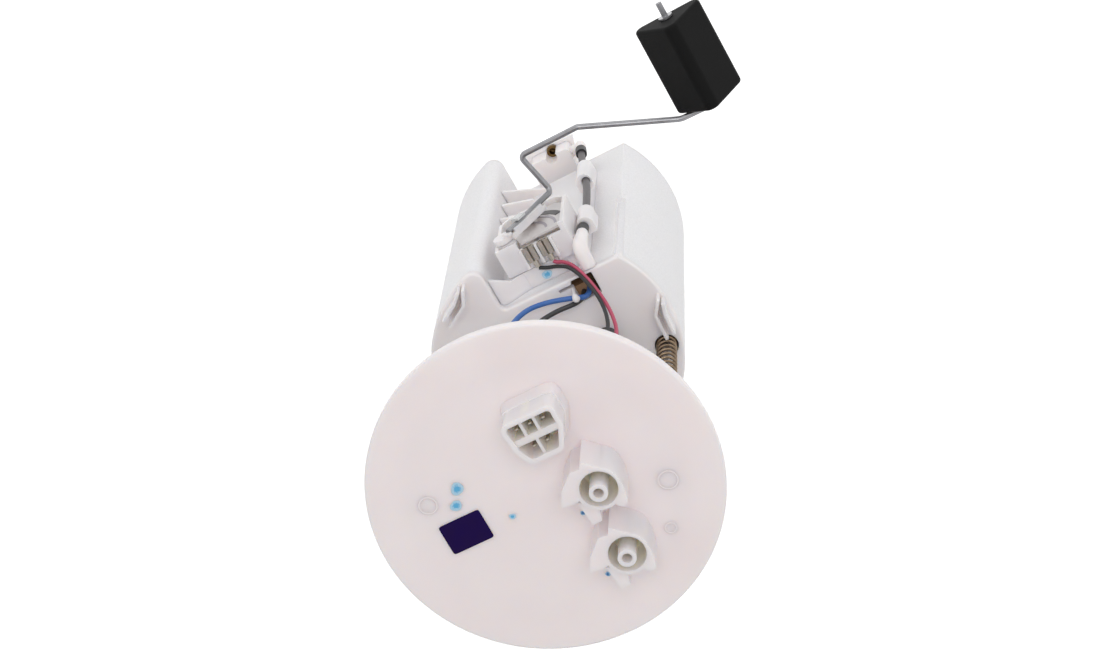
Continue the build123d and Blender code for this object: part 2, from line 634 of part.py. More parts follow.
save(sender_bracket.part, "sender_bracket")

# ---- Level sender ------------------------------------------------------------------------
XZ_AT = Plane(origin=(PIVOT_X, 0, PIVOT_Z), x_dir=(1, 0, 0), z_dir=(0, -1, 0))


def xz_plane(y):
    """Plane facing -Y at the given y, centred on the float arm's axis."""
    return XZ_AT.offset(-y)


with BuildPart() as sender_frame:
    with BuildSketch(Plane.XZ.offset(-BRACKET_Y)) as frame_face:
        with Locations(((SENDER_X0 + SENDER_X1) / 2, (SHELF_Z + SENDER_FOOT_Z) / 2)):
            Rectangle(SENDER_X1 - SENDER_X0, SHELF_Z - SENDER_FOOT_Z)
        chamfer(frame_face.vertices().group_by(Axis.Y)[0], 5)
    extrude(amount=BRACKET_Y - SENDER_FRONT_Y)
    with BuildSketch(Plane.XZ.offset(-SENDER_FRONT_Y)) as frame_hollow:
        with Locations(((SENDER_X0 + SENDER_X1) / 2, (SHELF_Z + SENDER_FOOT_Z) / 2)):
            Rectangle(SENDER_X1 - SENDER_X0, SHELF_Z - SENDER_FOOT_Z)
        chamfer(frame_hollow.vertices().group_by(Axis.Y)[0], 5)
        offset(amount=-SENDER_WALL, kind=Kind.INTERSECTION, mode=Mode.REPLACE)
    extrude(amount=-(BRACKET_Y - SENDER_FRONT_Y - SENDER_WALL), mode=Mode.SUBTRACT)
    # shelf under the shelf of the bracket is cut away
    with BuildSketch(Plane.XY.offset(SHELF_Z)):
        with Locations((SHELF_X0 - SEAT_GAP, SHELF_EDGE_Y - SEAT_GAP)):
            Rectangle(SENDER_X1 - SHELF_X0 + 1, BRACKET_Y - SHELF_EDGE_Y + 1, align=(Align.MIN, Align.MIN))
    extrude(amount=-SHELF_T - SEAT_GAP, mode=Mode.SUBTRACT)
    # the card shows in front of the top wall, between two posts
    with BuildSketch(Plane.XY.offset(SHELF_Z)):
        with Locations((SENDER_X0 + SENDER_WALL + 1, SENDER_FRONT_Y)):
            Rectangle(PIVOT_X - HUB_R - SENDER_X0 - SENDER_WALL - 1.5, CARD_Y - SENDER_FRONT_Y + CARD_T + 0.8,
                      align=(Align.MIN, Align.MIN))
    extrude(amount=-SENDER_WALL - 1, mode=Mode.SUBTRACT)
    # guide ribs beside the terminals
    with BuildSketch(Plane.XY.offset(SHELF_Z - SENDER_WALL / 2)):
        with Locations(*[(x, SHELF_EDGE_Y - 1) for x in RIBS_X]):
            Rectangle(RIB_T, RIB_L, align=(Align.CENTER, Align.MAX))
    extrude(amount=SENDER_WALL / 2 + RIB_H)
    # card rests and the pivot boss
    with BuildSketch(xz_plane(BRACKET_Y - SENDER_WALL)):
        Circle(HUB_R)
        with Locations((-24, -5), (-23.5, -22), (-6, -26)):
            Circle(1.6)
    extrude(amount=BRACKET_Y - SENDER_WALL - CARD_Y - CARD_T)
    with BuildSketch(xz_plane(CARD_Y + CARD_T)):
        Circle(HUB_R)
    extrude(amount=CARD_Y + CARD_T - WIPER_Y - SEAT_GAP)
    with BuildSketch(xz_plane(WIPER_Y)):
        Circle(PIVOT_R + PIVOT_GAP)
    extrude(amount=-PIVOT_L - 1, mode=Mode.SUBTRACT)
save(sender_frame.part, "sender_frame")

CARD_X0 = SENDER_X0 + SENDER_WALL + SEAT_GAP - PIVOT_X
with BuildPart() as resistor_card:
    with BuildSketch(xz_plane(CARD_Y + CARD_T)) as card_face:
        Polygon((CARD_X0, 3.5), (CARD_X0, -23.0), (CARD_X0 + 5, -28.0), (-3, -28.0), (-3, -6), (-6, 3.5),
                align=None)
        Circle(HUB_R + SEAT_GAP, mode=Mode.SUBTRACT)
    extrude(amount=CARD_T)
save(resistor_card.part, "resistor_card")


def track(radius, width, start, sweep_angle):
    """Printed track: an arc of the given width about the arm's axis."""
    with BuildSketch(mode=Mode.PRIVATE) as face:
        with BuildLine():
            outer = CenterArc((0, 0), radius + width / 2, start, sweep_angle)
            inner = CenterArc((0, 0), radius - width / 2, start, sweep_angle)
            Line(outer @ 0, inner @ 0)
            Line(outer @ 1, inner @ 1)
        make_face()
    return face.sketch


with BuildPart() as resistor_tracks:
    with BuildSketch(xz_plane(CARD_Y)):
        add(track(TRACK_INNER_R, TRACK_W, 184, 66))
        add(track(TRACK_OUTER_R, TRACK_W, 184, 62))
        add(track(COMB_R, COMB_W, 205, 40))
    extrude(amount=TRACK_T)
save(resistor_tracks.part, "resistor_tracks")

TERMINAL_Y = -38.8
with BuildPart() as sender_terminals:
    for x in TERMINALS_X:
        section = Plane(origin=(x, TERMINAL_Y - 3, SHELF_Z), x_dir=(1, 0, 0), z_dir=(0, -1, 0))
        with BuildSketch(section):
            Rectangle(TERMINAL_W, TERMINAL_H, align=(Align.CENTER, Align.MIN))
            with Locations((0, TERMINAL_T)):
                Rectangle(TERMINAL_W - 2 * TERMINAL_T, TERMINAL_H - 2 * TERMINAL_T,
                          align=(Align.CENTER, Align.MIN), mode=Mode.SUBTRACT)
            with Locations((0, TERMINAL_H)):
                Rectangle(0.8, 2 * TERMINAL_T, mode=Mode.SUBTRACT)
        extrude(amount=TERMINAL_L - 3)
        with BuildSketch(Plane.XY.offset(SHELF_Z)):
            with Locations((x, TERMINAL_Y)):
                Rectangle(2 * LEAD_R, 3.4, align=(Align.CENTER, Align.MAX))
        extrude(amount=TERMINAL_T)
        with BuildSketch(Plane(origin=(x, TERMINAL_Y, SHELF_Z + 1.2), z_dir=(0, -1, 0))):
            Circle(1.2)
        extrude(amount=3.1)
save(sender_terminals.part, "sender_terminals")

# ---- Float arm ---------------------------------------------------------------------------
ARM_START = (-5.6, WIRE_Y, -137.2)
ARM_END = (FLOAT_X, FLOAT_Y1 - WASHER_T - 2 * SEAT_GAP - STUB_L, ARM_Z)
ARM_ROUTE = [ARM_START, (-25.4, WIRE_Y, ARM_Z), (-20.8, -76.9, ARM_Z), (-49, -77.1, ARM_Z),
             (-90.3, -59.7, ARM_Z), (FLOAT_X, FLOAT_Y0 + WIRE_R + 2 * SEAT_GAP, ARM_Z), ARM_END]
with BuildPart() as float_arm:
    with BuildLine() as arm_path:
        FilletPolyline(*ARM_ROUTE, radius=[WIRE_BEND, WIRE_BEND, WIRE_BEND, WIRE_SWEEP, WIRE_BEND])
    with BuildSketch(Plane(origin=ARM_START, z_dir=arm_path.line % 0)):
        Circle(WIRE_R)
    sweep(path=arm_path.line)
save(float_arm.part, "float_arm")

LEVER = Vector(ARM_ROUTE[1][0] - ARM_START[0], 0, ARM_Z - ARM_START[2])
LEVER_ANGLE = degrees(atan2(LEVER.Z, LEVER.X))
with BuildPart() as arm_holder:
    with BuildSketch(xz_plane(HOLDER_Y + HOLDER_T)):
        Circle(HUB_R)
        with Locations((ARM_START[0] - PIVOT_X, ARM_START[2] - PIVOT_Z)):
            with Locations(Location((0, 0, 0), (0, 0, LEVER_ANGLE))):
                Rectangle(24, 2 * WIRE_R + 2, align=(Align.MIN, Align.CENTER))
        Circle(HUB_R)
    extrude(amount=HOLDER_T)
    with BuildSketch(xz_plane(HOLDER_Y + HOLDER_T)):
        Circle(PIVOT_R)
    extrude(amount=-PIVOT_L)
    # channel walls on both sides of the wire
    with BuildSketch(xz_plane(HOLDER_Y)):
        with Locations((ARM_START[0] - PIVOT_X, ARM_START[2] - PIVOT_Z)):
            with Locations(Location((0, 0, 0), (0, 0, LEVER_ANGLE))):
                with Locations((2, WIRE_R + 0.5), (2, -WIRE_R - 0.5)):
                    Rectangle(CHANNEL_L, 1, align=(Align.MIN, Align.CENTER))
                with Locations((-SEAT_GAP, 0)):
                    Rectangle(CAP_T, 2 * WIRE_R + 2, align=(Align.MAX, Align.CENTER))
    extrude(amount=WIRE_R)
save(arm_holder.part, "arm_holder")

with BuildPart() as wire_clip:
    with BuildSketch(xz_plane(WIRE_Y - WIRE_R)):
        with Locations((ARM_START[0] - PIVOT_X, ARM_START[2] - PIVOT_Z)):
            with Locations(Location((0, 0, 0), (0, 0, LEVER_ANGLE))):
                with Locations((9, 0)):
                    Rectangle(5, 2 * WIRE_R + 2)
    extrude(amount=1)
save(wire_clip.part, "wire_clip")

with BuildPart() as contact_wiper:
    along = Vector(cos(radians(LEVER_ANGLE)), 0, sin(radians(LEVER_ANGLE)))
    wiper = Plane(origin=(PIVOT_X, WIPER_Y, PIVOT_Z), x_dir=along, z_dir=(0, -1, 0))
    with BuildSketch(wiper):
        with Locations((11, 0)):
            Rectangle(9, 5, align=(Align.MIN, Align.CENTER))
            with Locations((8, 0)):
                Rectangle(6, 1.2, align=(Align.MIN, Align.CENTER))
    extrude(amount=-0.4)
    with BuildSketch(wiper):
        with Locations((TRACK_INNER_R, 0), (TRACK_OUTER_R, 0)):
            Circle(0.9)
    extrude(amount=-(CARD_Y - TRACK_T - SEAT_GAP - WIPER_Y))
save(contact_wiper.part, "contact_wiper")

PIN_FLOAT = Plane(origin=(FLOAT_X, FLOAT_Y0, ARM_Z), x_dir=(1, 0, 0), z_dir=(0, -1, 0))
with BuildPart() as float_body:
    with BuildSketch(PIN_FLOAT):
        Polygon((11, -2.7), (-1.2, 10.8), (-11.1, -5), align=None)
        offset(amount=FLOAT_EDGE)
        Circle(WIRE_R + FLOAT_BORE_GAP, mode=Mode.SUBTRACT)
    extrude(amount=FLOAT_L)
    fillet(float_body.faces().filter_by(Axis.Y).edges().filter_by(lambda edge: edge.length > 8), FLOAT_ROUND)
save(float_body.part, "float")

with BuildPart() as float_washer:
    with BuildSketch(Plane(origin=(FLOAT_X, FLOAT_Y1 - SEAT_GAP, ARM_Z), z_dir=(0, -1, 0))):
        Circle(WASHER_R)
        Circle(WIRE_R, mode=Mode.SUBTRACT)
    extrude(amount=WASHER_T)
save(float_washer.part, "float_washer")

# ---- Electric pump -----------------------------------------------------------------------
PUMP_AT = (PUMP_X, PUMP_Y)
with BuildPart() as pump_case:
    with BuildSketch(Plane.XY.offset(PUMP_FOOT_Z)):
        with Locations(PUMP_AT):
            Circle(PUMP_R)
            Circle(PUMP_R - PUMP_SHELL, mode=Mode.SUBTRACT)
    extrude(amount=PUMP_TOP_Z - PUMP_FOOT_Z)
save(pump_case.part, "pump_case")

BORE_R = PUMP_R - PUMP_SHELL
INLET_TOP_Z = PUMP_FOOT_Z + INLET_H
IMPELLER_Z = INLET_TOP_Z + SEAT_GAP
with BuildPart() as pump_inlet_cover:
    with BuildSketch(Plane.XY.offset(PUMP_FOOT_Z)):
        with Locations(PUMP_AT):
            Circle(BORE_R)
            Circle(SHAFT_R + SLIDE_GAP, mode=Mode.SUBTRACT)
            with Locations((9, 0)):
                Circle(2.5, mode=Mode.SUBTRACT)
    extrude(amount=INLET_H)
    with BuildSketch(Plane.XY.offset(PUMP_FOOT_Z)):
        with Locations((PUMP_X + 9, PUMP_Y)):
            Circle(4)
            Circle(2.5, mode=Mode.SUBTRACT)
    extrude(amount=-5)
save(pump_inlet_cover.part, "pump_inlet_cover")

OUTLET_X = PORT_X
OUTLET_Y = PORT_Y
TERMINALS = [(-22.5, -15.5), (-19.0, -14.0)]
with BuildPart() as pump_end_cap:
    with BuildSketch(Plane.XY.offset(PUMP_TOP_Z - 6)):
        with Locations(PUMP_AT):
            Circle(BORE_R)
    extrude(amount=6)
    with BuildSketch(Plane.XY.offset(PUMP_TOP_Z)):
        with Locations(PUMP_AT):
            Circle(PUMP_R - 1)
    extrude(amount=END_CAP_H, taper=4)
    with BuildSketch(Plane.XY.offset(END_CAP_Z)):
        with Locations((OUTLET_X, OUTLET_Y)):
            Circle(NIPPLE_R)
    extrude(amount=6)
    with BuildSketch(Plane.XY.offset(PUMP_TOP_Z - 6)):
        with Locations(PUMP_AT):
            Circle(SHAFT_R + SLIDE_GAP)
    extrude(amount=6, mode=Mode.SUBTRACT)
    with BuildSketch(Plane.XY.offset(PUMP_TOP_Z - 6)):
        with Locations((OUTLET_X, OUTLET_Y)):
            Circle(NIPPLE_BORE)
    extrude(amount=12 + END_CAP_H, mode=Mode.SUBTRACT)
    with BuildSketch(Plane.XY.offset(END_CAP_Z - 4)):
        with Locations(*TERMINALS):
            Rectangle(2.4, 0.8)
    extrude(amount=4, mode=Mode.SUBTRACT)
save(pump_end_cap.part, "pump_end_cap")

with BuildPart() as pump_terminals:
    with BuildSketch(Plane.XY.offset(END_CAP_Z - 4)):
        with Locations(*TERMINALS):
            Rectangle(2.4, 0.8)
    extrude(amount=9)
save(pump_terminals.part, "pump_terminals")

PLUG_TOP_Z = -129.5
with BuildPart() as pump_plug:
    with BuildSketch(Plane.XY.offset(END_CAP_Z + SEAT_GAP)):
        with Locations((-22.7, -18.2)):
            RectangleRounded(11.4, 11.6, 1)
    extrude(amount=PLUG_TOP_Z - END_CAP_Z - SEAT_GAP)
    with BuildSketch(Plane.XY.offset(END_CAP_Z)):
        with Locations(*TERMINALS):
            Rectangle(2.4, 0.8)
    extrude(amount=5, mode=Mode.SUBTRACT)
save(pump_plug.part, "pump_plug")

with BuildPart() as pump_magnets:
    with BuildSketch(Plane.XY.offset(IMPELLER_Z + IMPELLER_T + 8)):
        with Locations(PUMP_AT):
            Circle(BORE_R)
            Circle(BORE_R - MAGNET_T, mode=Mode.SUBTRACT)
            Rectangle(2 * BORE_R, 12, mode=Mode.SUBTRACT)
    extrude(amount=ARMATURE_L)
save(pump_magnets.part, "pump_magnets")

with BuildPart() as armature:
    with BuildSketch(Plane.XY.offset(IMPELLER_Z + IMPELLER_T + 8)) as laminations:
        with Locations(PUMP_AT):
            Circle(BORE_R - MAGNET_T - AIR_GAP)
            Circle(SHAFT_R, mode=Mode.SUBTRACT)
            with PolarLocations(BORE_R - MAGNET_T - AIR_GAP, 8):
                Rectangle(6, 2.2, mode=Mode.SUBTRACT)
    extrude(amount=ARMATURE_L - 4)
save(armature.part, "armature")

with BuildPart() as commutator:
    with BuildSketch(Plane.XY.offset(IMPELLER_Z + IMPELLER_T + 8 + ARMATURE_L - 4)):
        with Locations(PUMP_AT):
            Circle(7)
            Circle(SHAFT_R, mode=Mode.SUBTRACT)
    extrude(amount=8)
save(commutator.part, "commutator")

with BuildPart() as pump_shaft:
    with BuildSketch(Plane.XY.offset(PUMP_FOOT_Z + 1)):
        with Locations(PUMP_AT):
            Circle(SHAFT_R)
    extrude(amount=PUMP_TOP_Z - 1.5 - PUMP_FOOT_Z - 1)
save(pump_shaft.part, "pump_shaft")

with BuildPart() as impeller:
    with BuildSketch(Plane.XY.offset(IMPELLER_Z)):
        with Locations(PUMP_AT):
            Circle(IMPELLER_R)
            Circle(SHAFT_R, mode=Mode.SUBTRACT)
            with PolarLocations(IMPELLER_R - 1, BLADES):
                Rectangle(3.4, 2.2, mode=Mode.SUBTRACT)
    extrude(amount=IMPELLER_T)
save(impeller.part, "impeller")

CUSHION_H = 12.0
with BuildPart() as pump_cushion:
    with BuildSketch(Plane.XY.offset(PUMP_HOLDER_TOP_Z - CUSHION_H)) as cushion_ring:
        with Locations(PUMP_AT):
            Circle(PUMP_R + CUSHION_T)
            Circle(PUMP_R, mode=Mode.SUBTRACT)
    extrude(amount=CUSHION_H)
    with BuildSketch(Plane.XY.offset(PUMP_FOOT_Z - 1)):
        with Locations(PUMP_AT):
            Circle(PUMP_R + CUSHION_T)
            Circle(PUMP_R, mode=Mode.SUBTRACT)
    extrude(amount=CUSHION_H)
save(pump_cushion.part, "pump_cushion")

with BuildPart() as pump_holder:
    with BuildSketch(Plane.XY.offset(CUP_FLOOR_Z)):
        with Locations(PUMP_AT):
            Circle(PUMP_R + CUSHION_T + HOLDER_WALL)
            Circle(PUMP_R + CUSHION_T, mode=Mode.SUBTRACT)
    extrude(amount=PUMP_HOLDER_TOP_Z - CUP_FLOOR_Z)
    for angle in (60, 180, 300):
        outward = Vector(cos(radians(angle)), sin(radians(angle)), 0)
        sideways = Vector(-sin(radians(angle)), cos(radians(angle)), 0)
        window = Plane(origin=(PUMP_X, PUMP_Y, CUP_FLOOR_Z), x_dir=sideways, z_dir=outward)
        with BuildSketch(window):
            Rectangle(18, 12, align=(Align.CENTER, Align.MIN))
        extrude(amount=PUMP_R + CUSHION_T + HOLDER_WALL + 2, mode=Mode.SUBTRACT)
save(pump_holder.part, "pump_holder")

with BuildPart() as suction_filter:
    with BuildSketch(Plane.XY.offset(CUP_FLOOR_Z + SEAT_GAP)):
        with Locations(PUMP_AT):
            Circle(PUMP_R)
    extrude(amount=STRAINER_H)
    fillet(suction_filter.edges().filter_by(GeomType.CIRCLE), 2)
    with BuildSketch(Plane.XY.offset(CUP_FLOOR_Z + STRAINER_H)):
        with Locations((PUMP_X + 9, PUMP_Y)):
            Circle(5.5)
    extrude(amount=PUMP_FOOT_Z - CUP_FLOOR_Z - STRAINER_H)
    with BuildSketch(Plane.XY.offset(PUMP_FOOT_Z)):
        with Locations((PUMP_X + 9, PUMP_Y)):
            Circle(4)
    extrude(amount=-5, mode=Mode.SUBTRACT)
save(suction_filter.part, "suction_filter")

# ---- Hoses -------------------------------------------------------------------------------
for name, (x, y) in zip(("feed_hose", "return_hose"), PORTS):
    with BuildPart() as hose:
        with BuildSketch(Plane.XY.offset(-2)):
            with Locations((x, y)):
                Circle(HOSE_R)
                Circle(NIPPLE_R, mode=Mode.SUBTRACT)
        extrude(amount=COVER_Z + 2 + 2)
    save(hose.part, name)

with BuildPart() as outlet_hose:
    with BuildSketch(Plane.XY.offset(END_CAP_Z + 1)):
        with Locations((OUTLET_X, OUTLET_Y)):
            Circle(HOSE_R)
            Circle(NIPPLE_R, mode=Mode.SUBTRACT)
    extrude(amount=COVER_FOOT_Z - LIP_H - END_CAP_Z - 1)
save(outlet_hose.part, "outlet_hose")

with BuildPart() as return_pipe:
    with BuildSketch(Plane.XY.offset(CUP_FLOOR_Z + 8)):
        with Locations((RETURN_X, RETURN_Y)):
            Circle(NIPPLE_R + PIPE_WALL)
            Circle(NIPPLE_R, mode=Mode.SUBTRACT)
    extrude(amount=COVER_FOOT_Z - SEAT_GAP - CUP_FLOOR_Z - 8)
save(return_pipe.part, "return_pipe")

# ---- Leads -------------------------------------------------------------------------------
LEADS = {
    "lead_red": (LEAD_R, [(PIN_ROWS[0][0], ROW_1_Y, -PLUG_DEPTH), (PIN_ROWS[0][0], ROW_1_Y, -28),
                          (-23, -25, -51), (-31, -12.5, -74), (-35, -9, -92), (-34.6, -16.5, -105.5),
                          (-31, -26.4, -116), (-25.8, -33.4, -122.8), (-21.4, -34.2, -128),
                          (-18.7, -35, -130.6), (TERMINALS_X[1], TERMINAL_Y + 0.7, -131.2)]),
    "lead_black": (LEAD_R, [(PIN_ROWS[1][0], ROW_1_Y, -PLUG_DEPTH), (PIN_ROWS[1][0], ROW_1_Y, -28),
                            (-18, -25, -49), (-27, -15, -70), (-32.5, -13, -89), (-33.2, -17.5, -103),
                            (-30.8, -25.5, -113.5), (-25.2, -33.4, -119.8), (-19, -34.6, -127.2),
                            (-14.3, -35, -130.2), (TERMINALS_X[0], TERMINAL_Y + 0.7, -131.2)]),
    "lead_blue": (PUMP_LEAD_R, [(PIN_ROWS[2][0], ROW_1_Y, -PLUG_DEPTH), (PIN_ROWS[2][0], ROW_1_Y, -30),
                                (-2, -31.8, -50), (3.5, -30.8, -70), (5.6, -30.6, -88), (4.6, -30.9, -101),
                                (-1.5, -30.2, -111.5), (-10, -28, -116.3), (-20.5, -25.4, -118.2),
                                (-26.6, -22.2, -123.6), (-26.6, -22.2, PLUG_TOP_Z + SEAT_GAP)]),
    "lead_earth": (EARTH_LEAD_R, [(PIN_ROWS[4][0], ROW_2_Y, -PLUG_DEPTH), (PIN_ROWS[4][0], ROW_2_Y, -30),
                                  (-4, -24.3, -49), (1, -24.3, -67), (2.2, -24.2, -85), (0.5, -24, -99),
                                  (-4, -23.6, -109.5), (-12, -22.6, -115), (-20.2, -21.3, -116.6),
                                  (-23.5, -20.6, -121.6), (-23.5, -20.6, PLUG_TOP_Z + SEAT_GAP)]),
}
for name, (radius, points) in LEADS.items():
    with BuildPart() as lead:
        add(routed(points, radius))
    save(lead.part, name)

print(len(assembly), "pieces")
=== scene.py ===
import bmesh
import bpy
import numpy as np
from mathutils import Matrix, Vector


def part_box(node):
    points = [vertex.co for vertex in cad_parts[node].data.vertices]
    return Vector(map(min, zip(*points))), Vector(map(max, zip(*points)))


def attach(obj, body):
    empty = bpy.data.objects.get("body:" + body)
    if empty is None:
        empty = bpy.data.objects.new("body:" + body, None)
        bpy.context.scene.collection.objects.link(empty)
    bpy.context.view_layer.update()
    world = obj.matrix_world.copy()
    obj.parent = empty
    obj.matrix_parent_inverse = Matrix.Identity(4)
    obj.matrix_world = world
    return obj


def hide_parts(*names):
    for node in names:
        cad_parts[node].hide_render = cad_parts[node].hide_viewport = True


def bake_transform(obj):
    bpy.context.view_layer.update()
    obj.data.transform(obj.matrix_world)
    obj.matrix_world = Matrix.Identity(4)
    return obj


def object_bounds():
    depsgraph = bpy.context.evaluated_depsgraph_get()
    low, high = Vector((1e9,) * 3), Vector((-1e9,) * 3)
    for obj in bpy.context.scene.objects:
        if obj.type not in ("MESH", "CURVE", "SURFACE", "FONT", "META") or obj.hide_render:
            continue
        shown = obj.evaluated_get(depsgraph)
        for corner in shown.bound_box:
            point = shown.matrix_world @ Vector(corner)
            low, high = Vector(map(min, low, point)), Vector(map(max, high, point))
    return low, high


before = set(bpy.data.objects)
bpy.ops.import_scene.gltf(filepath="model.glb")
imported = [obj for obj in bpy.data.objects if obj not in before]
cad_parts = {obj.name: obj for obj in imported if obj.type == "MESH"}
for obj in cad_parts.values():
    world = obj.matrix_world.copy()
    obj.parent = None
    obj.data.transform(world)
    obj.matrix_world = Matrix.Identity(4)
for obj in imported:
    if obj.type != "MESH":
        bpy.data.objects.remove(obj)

bl_info = {
    "name": "Fuel Pump Module",
    "version": (1, 0, 0),
    "blender": (4, 5, 0),
    "location": "View3D > Sidebar > Fuel Module",
    "description": "Dresses an in-tank fuel pump module: finishes, springs, hoses, leads and marks",
    "category": "Object",
}

CAD_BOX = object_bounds()
MM = 0.001

# Places on the part, all in mm. Those of one body's pieces are in the part's own frame.
FLANGE_FACE = 4.0                      # height of the flange's upper face
ARM_AXIS = (-2, 0, -139)               # the float arm turns about this line along Y
COMB_RADIUS = 24.8                     # the black comb is printed outside this radius
# Wells of the two ports and the socket, down which the flange's colour is painted lighter and
# warmer as a painted glow: x, y, radius and height of the mouth.
FLANGE_WELLS = ((-24, 0, 7.5, 24.5), (-20.8, 29.2, 7.5, 24.5), (-13, -30, 8.6, 23))
LABEL_CENTRE = (35.7, 1.65)
LABEL_T = 0.13
# Inspection dots on the flange: x, y and radius. The small ones are a darker paint pen's.
FLANGE_DOTS = ((29.8, -16.3, 2.6), (33.7, -10.1, 2.3), (16.4, 3.9, 1.3), (-8.6, 15.0, 1.0),
               (-4.7, 42.9, 1.0))
PEN_DOT_RADIUS = 1.1
SHELF_DOT = (-12.3, -33.4, -132.5)     # dot on the sender bracket's shelf
# Witness rings that the mould's ejector pins leave: x, y and radius.
EJECTOR_MARKS = ((-44.3, 17.4, 4.2), (43.4, -15.0, 3.9), (-35.8, 36.2, 2.6))

# Routes of the four leads, from the plug under the flange down to the pot: diameter, slot,
# two tones of the insulation, a direction that the route never runs along, and points.
LEADS = {
    "lead_red": (1.7, "red_cover", "#B8405E", "#CB5A76", (1, 0.1, 0), [
        (-18, -33.7, -12), (-18, -33.7, -28), (-23, -25, -51), (-31, -12.5, -74),
        (-35, -9, -92), (-34.6, -16.5, -105.5), (-31, -26.4, -116), (-26.2, -34.4, -124.5),
        (-21.6, -36.4, -129.8), (-18.5, -37, -131), (-18, -38.1, -131.2)]),
    "lead_black": (1.7, "black_cover", "#121213", "#1F1F21", (1, 0.1, 0), [
        (-12.4, -33.7, -12), (-12.4, -33.7, -28), (-18, -25, -49), (-27, -15, -70),
        (-32.5, -13, -89), (-33.2, -17.5, -103), (-30.8, -25.5, -113.5),
        (-25.2, -34.8, -122.8), (-18.6, -36, -129), (-14, -36.6, -130.8),
        (-11, -38.1, -131.2)]),
    "lead_blue": (2.3, "blue_cover", "#2F60AA", "#4878BE", (0, 1, 0), [
        (-6.8, -33.7, -12), (-6.8, -33.7, -30), (-2, -31.8, -50), (3.5, -30.8, -70),
        (5.6, -30.6, -88), (4.6, -30.9, -101), (-1.5, -30.2, -111.5), (-10, -27.6, -116.3),
        (-20.5, -23.8, -117.6), (-26.6, -20.4, -119.6), (-26.6, -21.4, -129.2)]),
    "lead_earth": (2.2, "black_cover", "#242426", "#3A3A3C", (0, 1, 0), [
        (-9.6, -24.8, -12), (-9.6, -24.8, -30), (-4, -24.3, -49), (1, -24.3, -67),
        (2.2, -24.2, -85), (0.5, -24, -99), (-4, -23.6, -109.5), (-12, -22.6, -115),
        (-20.2, -21.3, -116.6), (-23.5, -20.6, -121.6), (-23.5, -20.6, -129.2)]),
}

# The camera, in metres, with its three axes, and the lamps: name, place, size and power.
CAMERA_LENS, CAMERA_SENSOR = 88.36, 36.0
CAMERA_PLACE = (-0.25634, -0.38891, 0.93644)
CAMERA_RIGHT = (-0.879401, 0.474231, -0.041917)
CAMERA_UP = (-0.422831, -0.818474, -0.388987)
CAMERA_BACK = (-0.218779, -0.324353, 0.92029)
LAMPS = (("key", (-0.42, -0.58, 1.22), 0.8, 5.2), ("fill", (0.9, -0.7, 0.9), 1.2, 1.6),
         ("back", (0.2, 1.2, 0.8), 1.0, 1.2), ("left", (-1.25, -0.45, 0.15), 1.0, 2.0),
         ("front", (-0.1, -1.3, -0.15), 1.0, 2.2))
LAMP_AIM = (0, 0, -0.1)
SKY_LIGHT = 0.5                        # what the sky gives as light; it is seen at 1
FLOOR_GLOW = 0.5                       # what the floor is lifted by where it is seen
FLOOR_HALF = 4


# ---- Colour and node helpers --------------------------------------------------------------
def linear(code):
    """sRGB hex code to the linear RGBA that sockets take."""
    value = np.array([int(code[i:i + 2], 16) for i in (1, 3, 5)]) / 255
    value = np.where(value <= 0.04045, value / 12.92, ((value + 0.055) / 1.055) ** 2.4)
    return (*value.tolist(), 1.0)


def add(tree, kind, inputs=None, **settings):
    """Add a node with its settings; an input that is a socket is linked, any other is a value."""
    made = tree.nodes.new(kind)
    for key, value in settings.items():
        setattr(made, key, value)
    for key, value in (inputs or {}).items():
        if isinstance(value, bpy.types.NodeSocket):
            tree.links.new(value, made.inputs[key])
        else:
            made.inputs[key].default_value = value
    return made


def blank(name):
    """A material with an empty tree, that tree, and the socket of Object coordinates."""
    material = bpy.data.materials.new(name)
    material.use_nodes = True
    tree = material.node_tree
    tree.nodes.clear()
    return material, tree, add(tree, "ShaderNodeTexCoord").outputs["Object"]


def close(tree, shader):
    """Send a shader's output to the surface."""
    add(tree, "ShaderNodeOutputMaterial", {"Surface": shader.outputs[0]})


def glossed(tree, inputs):
    """Send a Principled surface with these inputs to the output."""
    close(tree, add(tree, "ShaderNodeBsdfPrincipled", inputs))


def tint(tree, factor, low, high):
    """Colour from low to high over a factor; low is a hex code or a socket, high a hex code."""
    low = low if isinstance(low, bpy.types.NodeSocket) else linear(low)
    mix = add(tree, "ShaderNodeMix", {"Factor": factor, "A": low, "B": linear(high)},
              data_type="RGBA")
    return mix.outputs["Result"]


def noise(tree, place, size_mm, detail=2.0, **more):
    """Cloudy noise whose clouds are about size_mm across."""
    return add(tree, "ShaderNodeTexNoise", {"Vector": place, "Scale": 1 / (size_mm * MM),
                                            "Detail": detail, **more}).outputs["Fac"]


def spread(tree, value, low, high, start=0.0, end=1.0):
    """Turn values from start to end into values from low to high, and stop there."""
    return add(tree, "ShaderNodeMapRange", {"Value": value, "From Min": start, "From Max": end,
                                            "To Min": low, "To Max": high}).outputs["Result"]


def relief(tree, height, depth_mm, strength=1.0):
    """Normal of a surface that rises by depth_mm over a height from 0 to 1."""
    return add(tree, "ShaderNodeBump", {"Height": height, "Distance": depth_mm * MM,
                                        "Strength": strength}).outputs["Normal"]


def distance(tree, place, centre, along):
    """Distance from a line through centre (mm); along is 0 on the line's own axis, else 1."""
    offset = add(tree, "ShaderNodeVectorMath", {0: place, 1: [part * MM for part in centre]},
                 operation="SUBTRACT")
    flat = add(tree, "ShaderNodeVectorMath", {0: offset.outputs[0], 1: along},
               operation="MULTIPLY")
    return add(tree, "ShaderNodeVectorMath", {0: flat.outputs[0]},
               operation="LENGTH").outputs["Value"]


def combined(tree, first, second, operation):
    """Result of one sum on two values."""
    return add(tree, "ShaderNodeMath", {0: first, 1: second}, operation=operation).outputs[0]


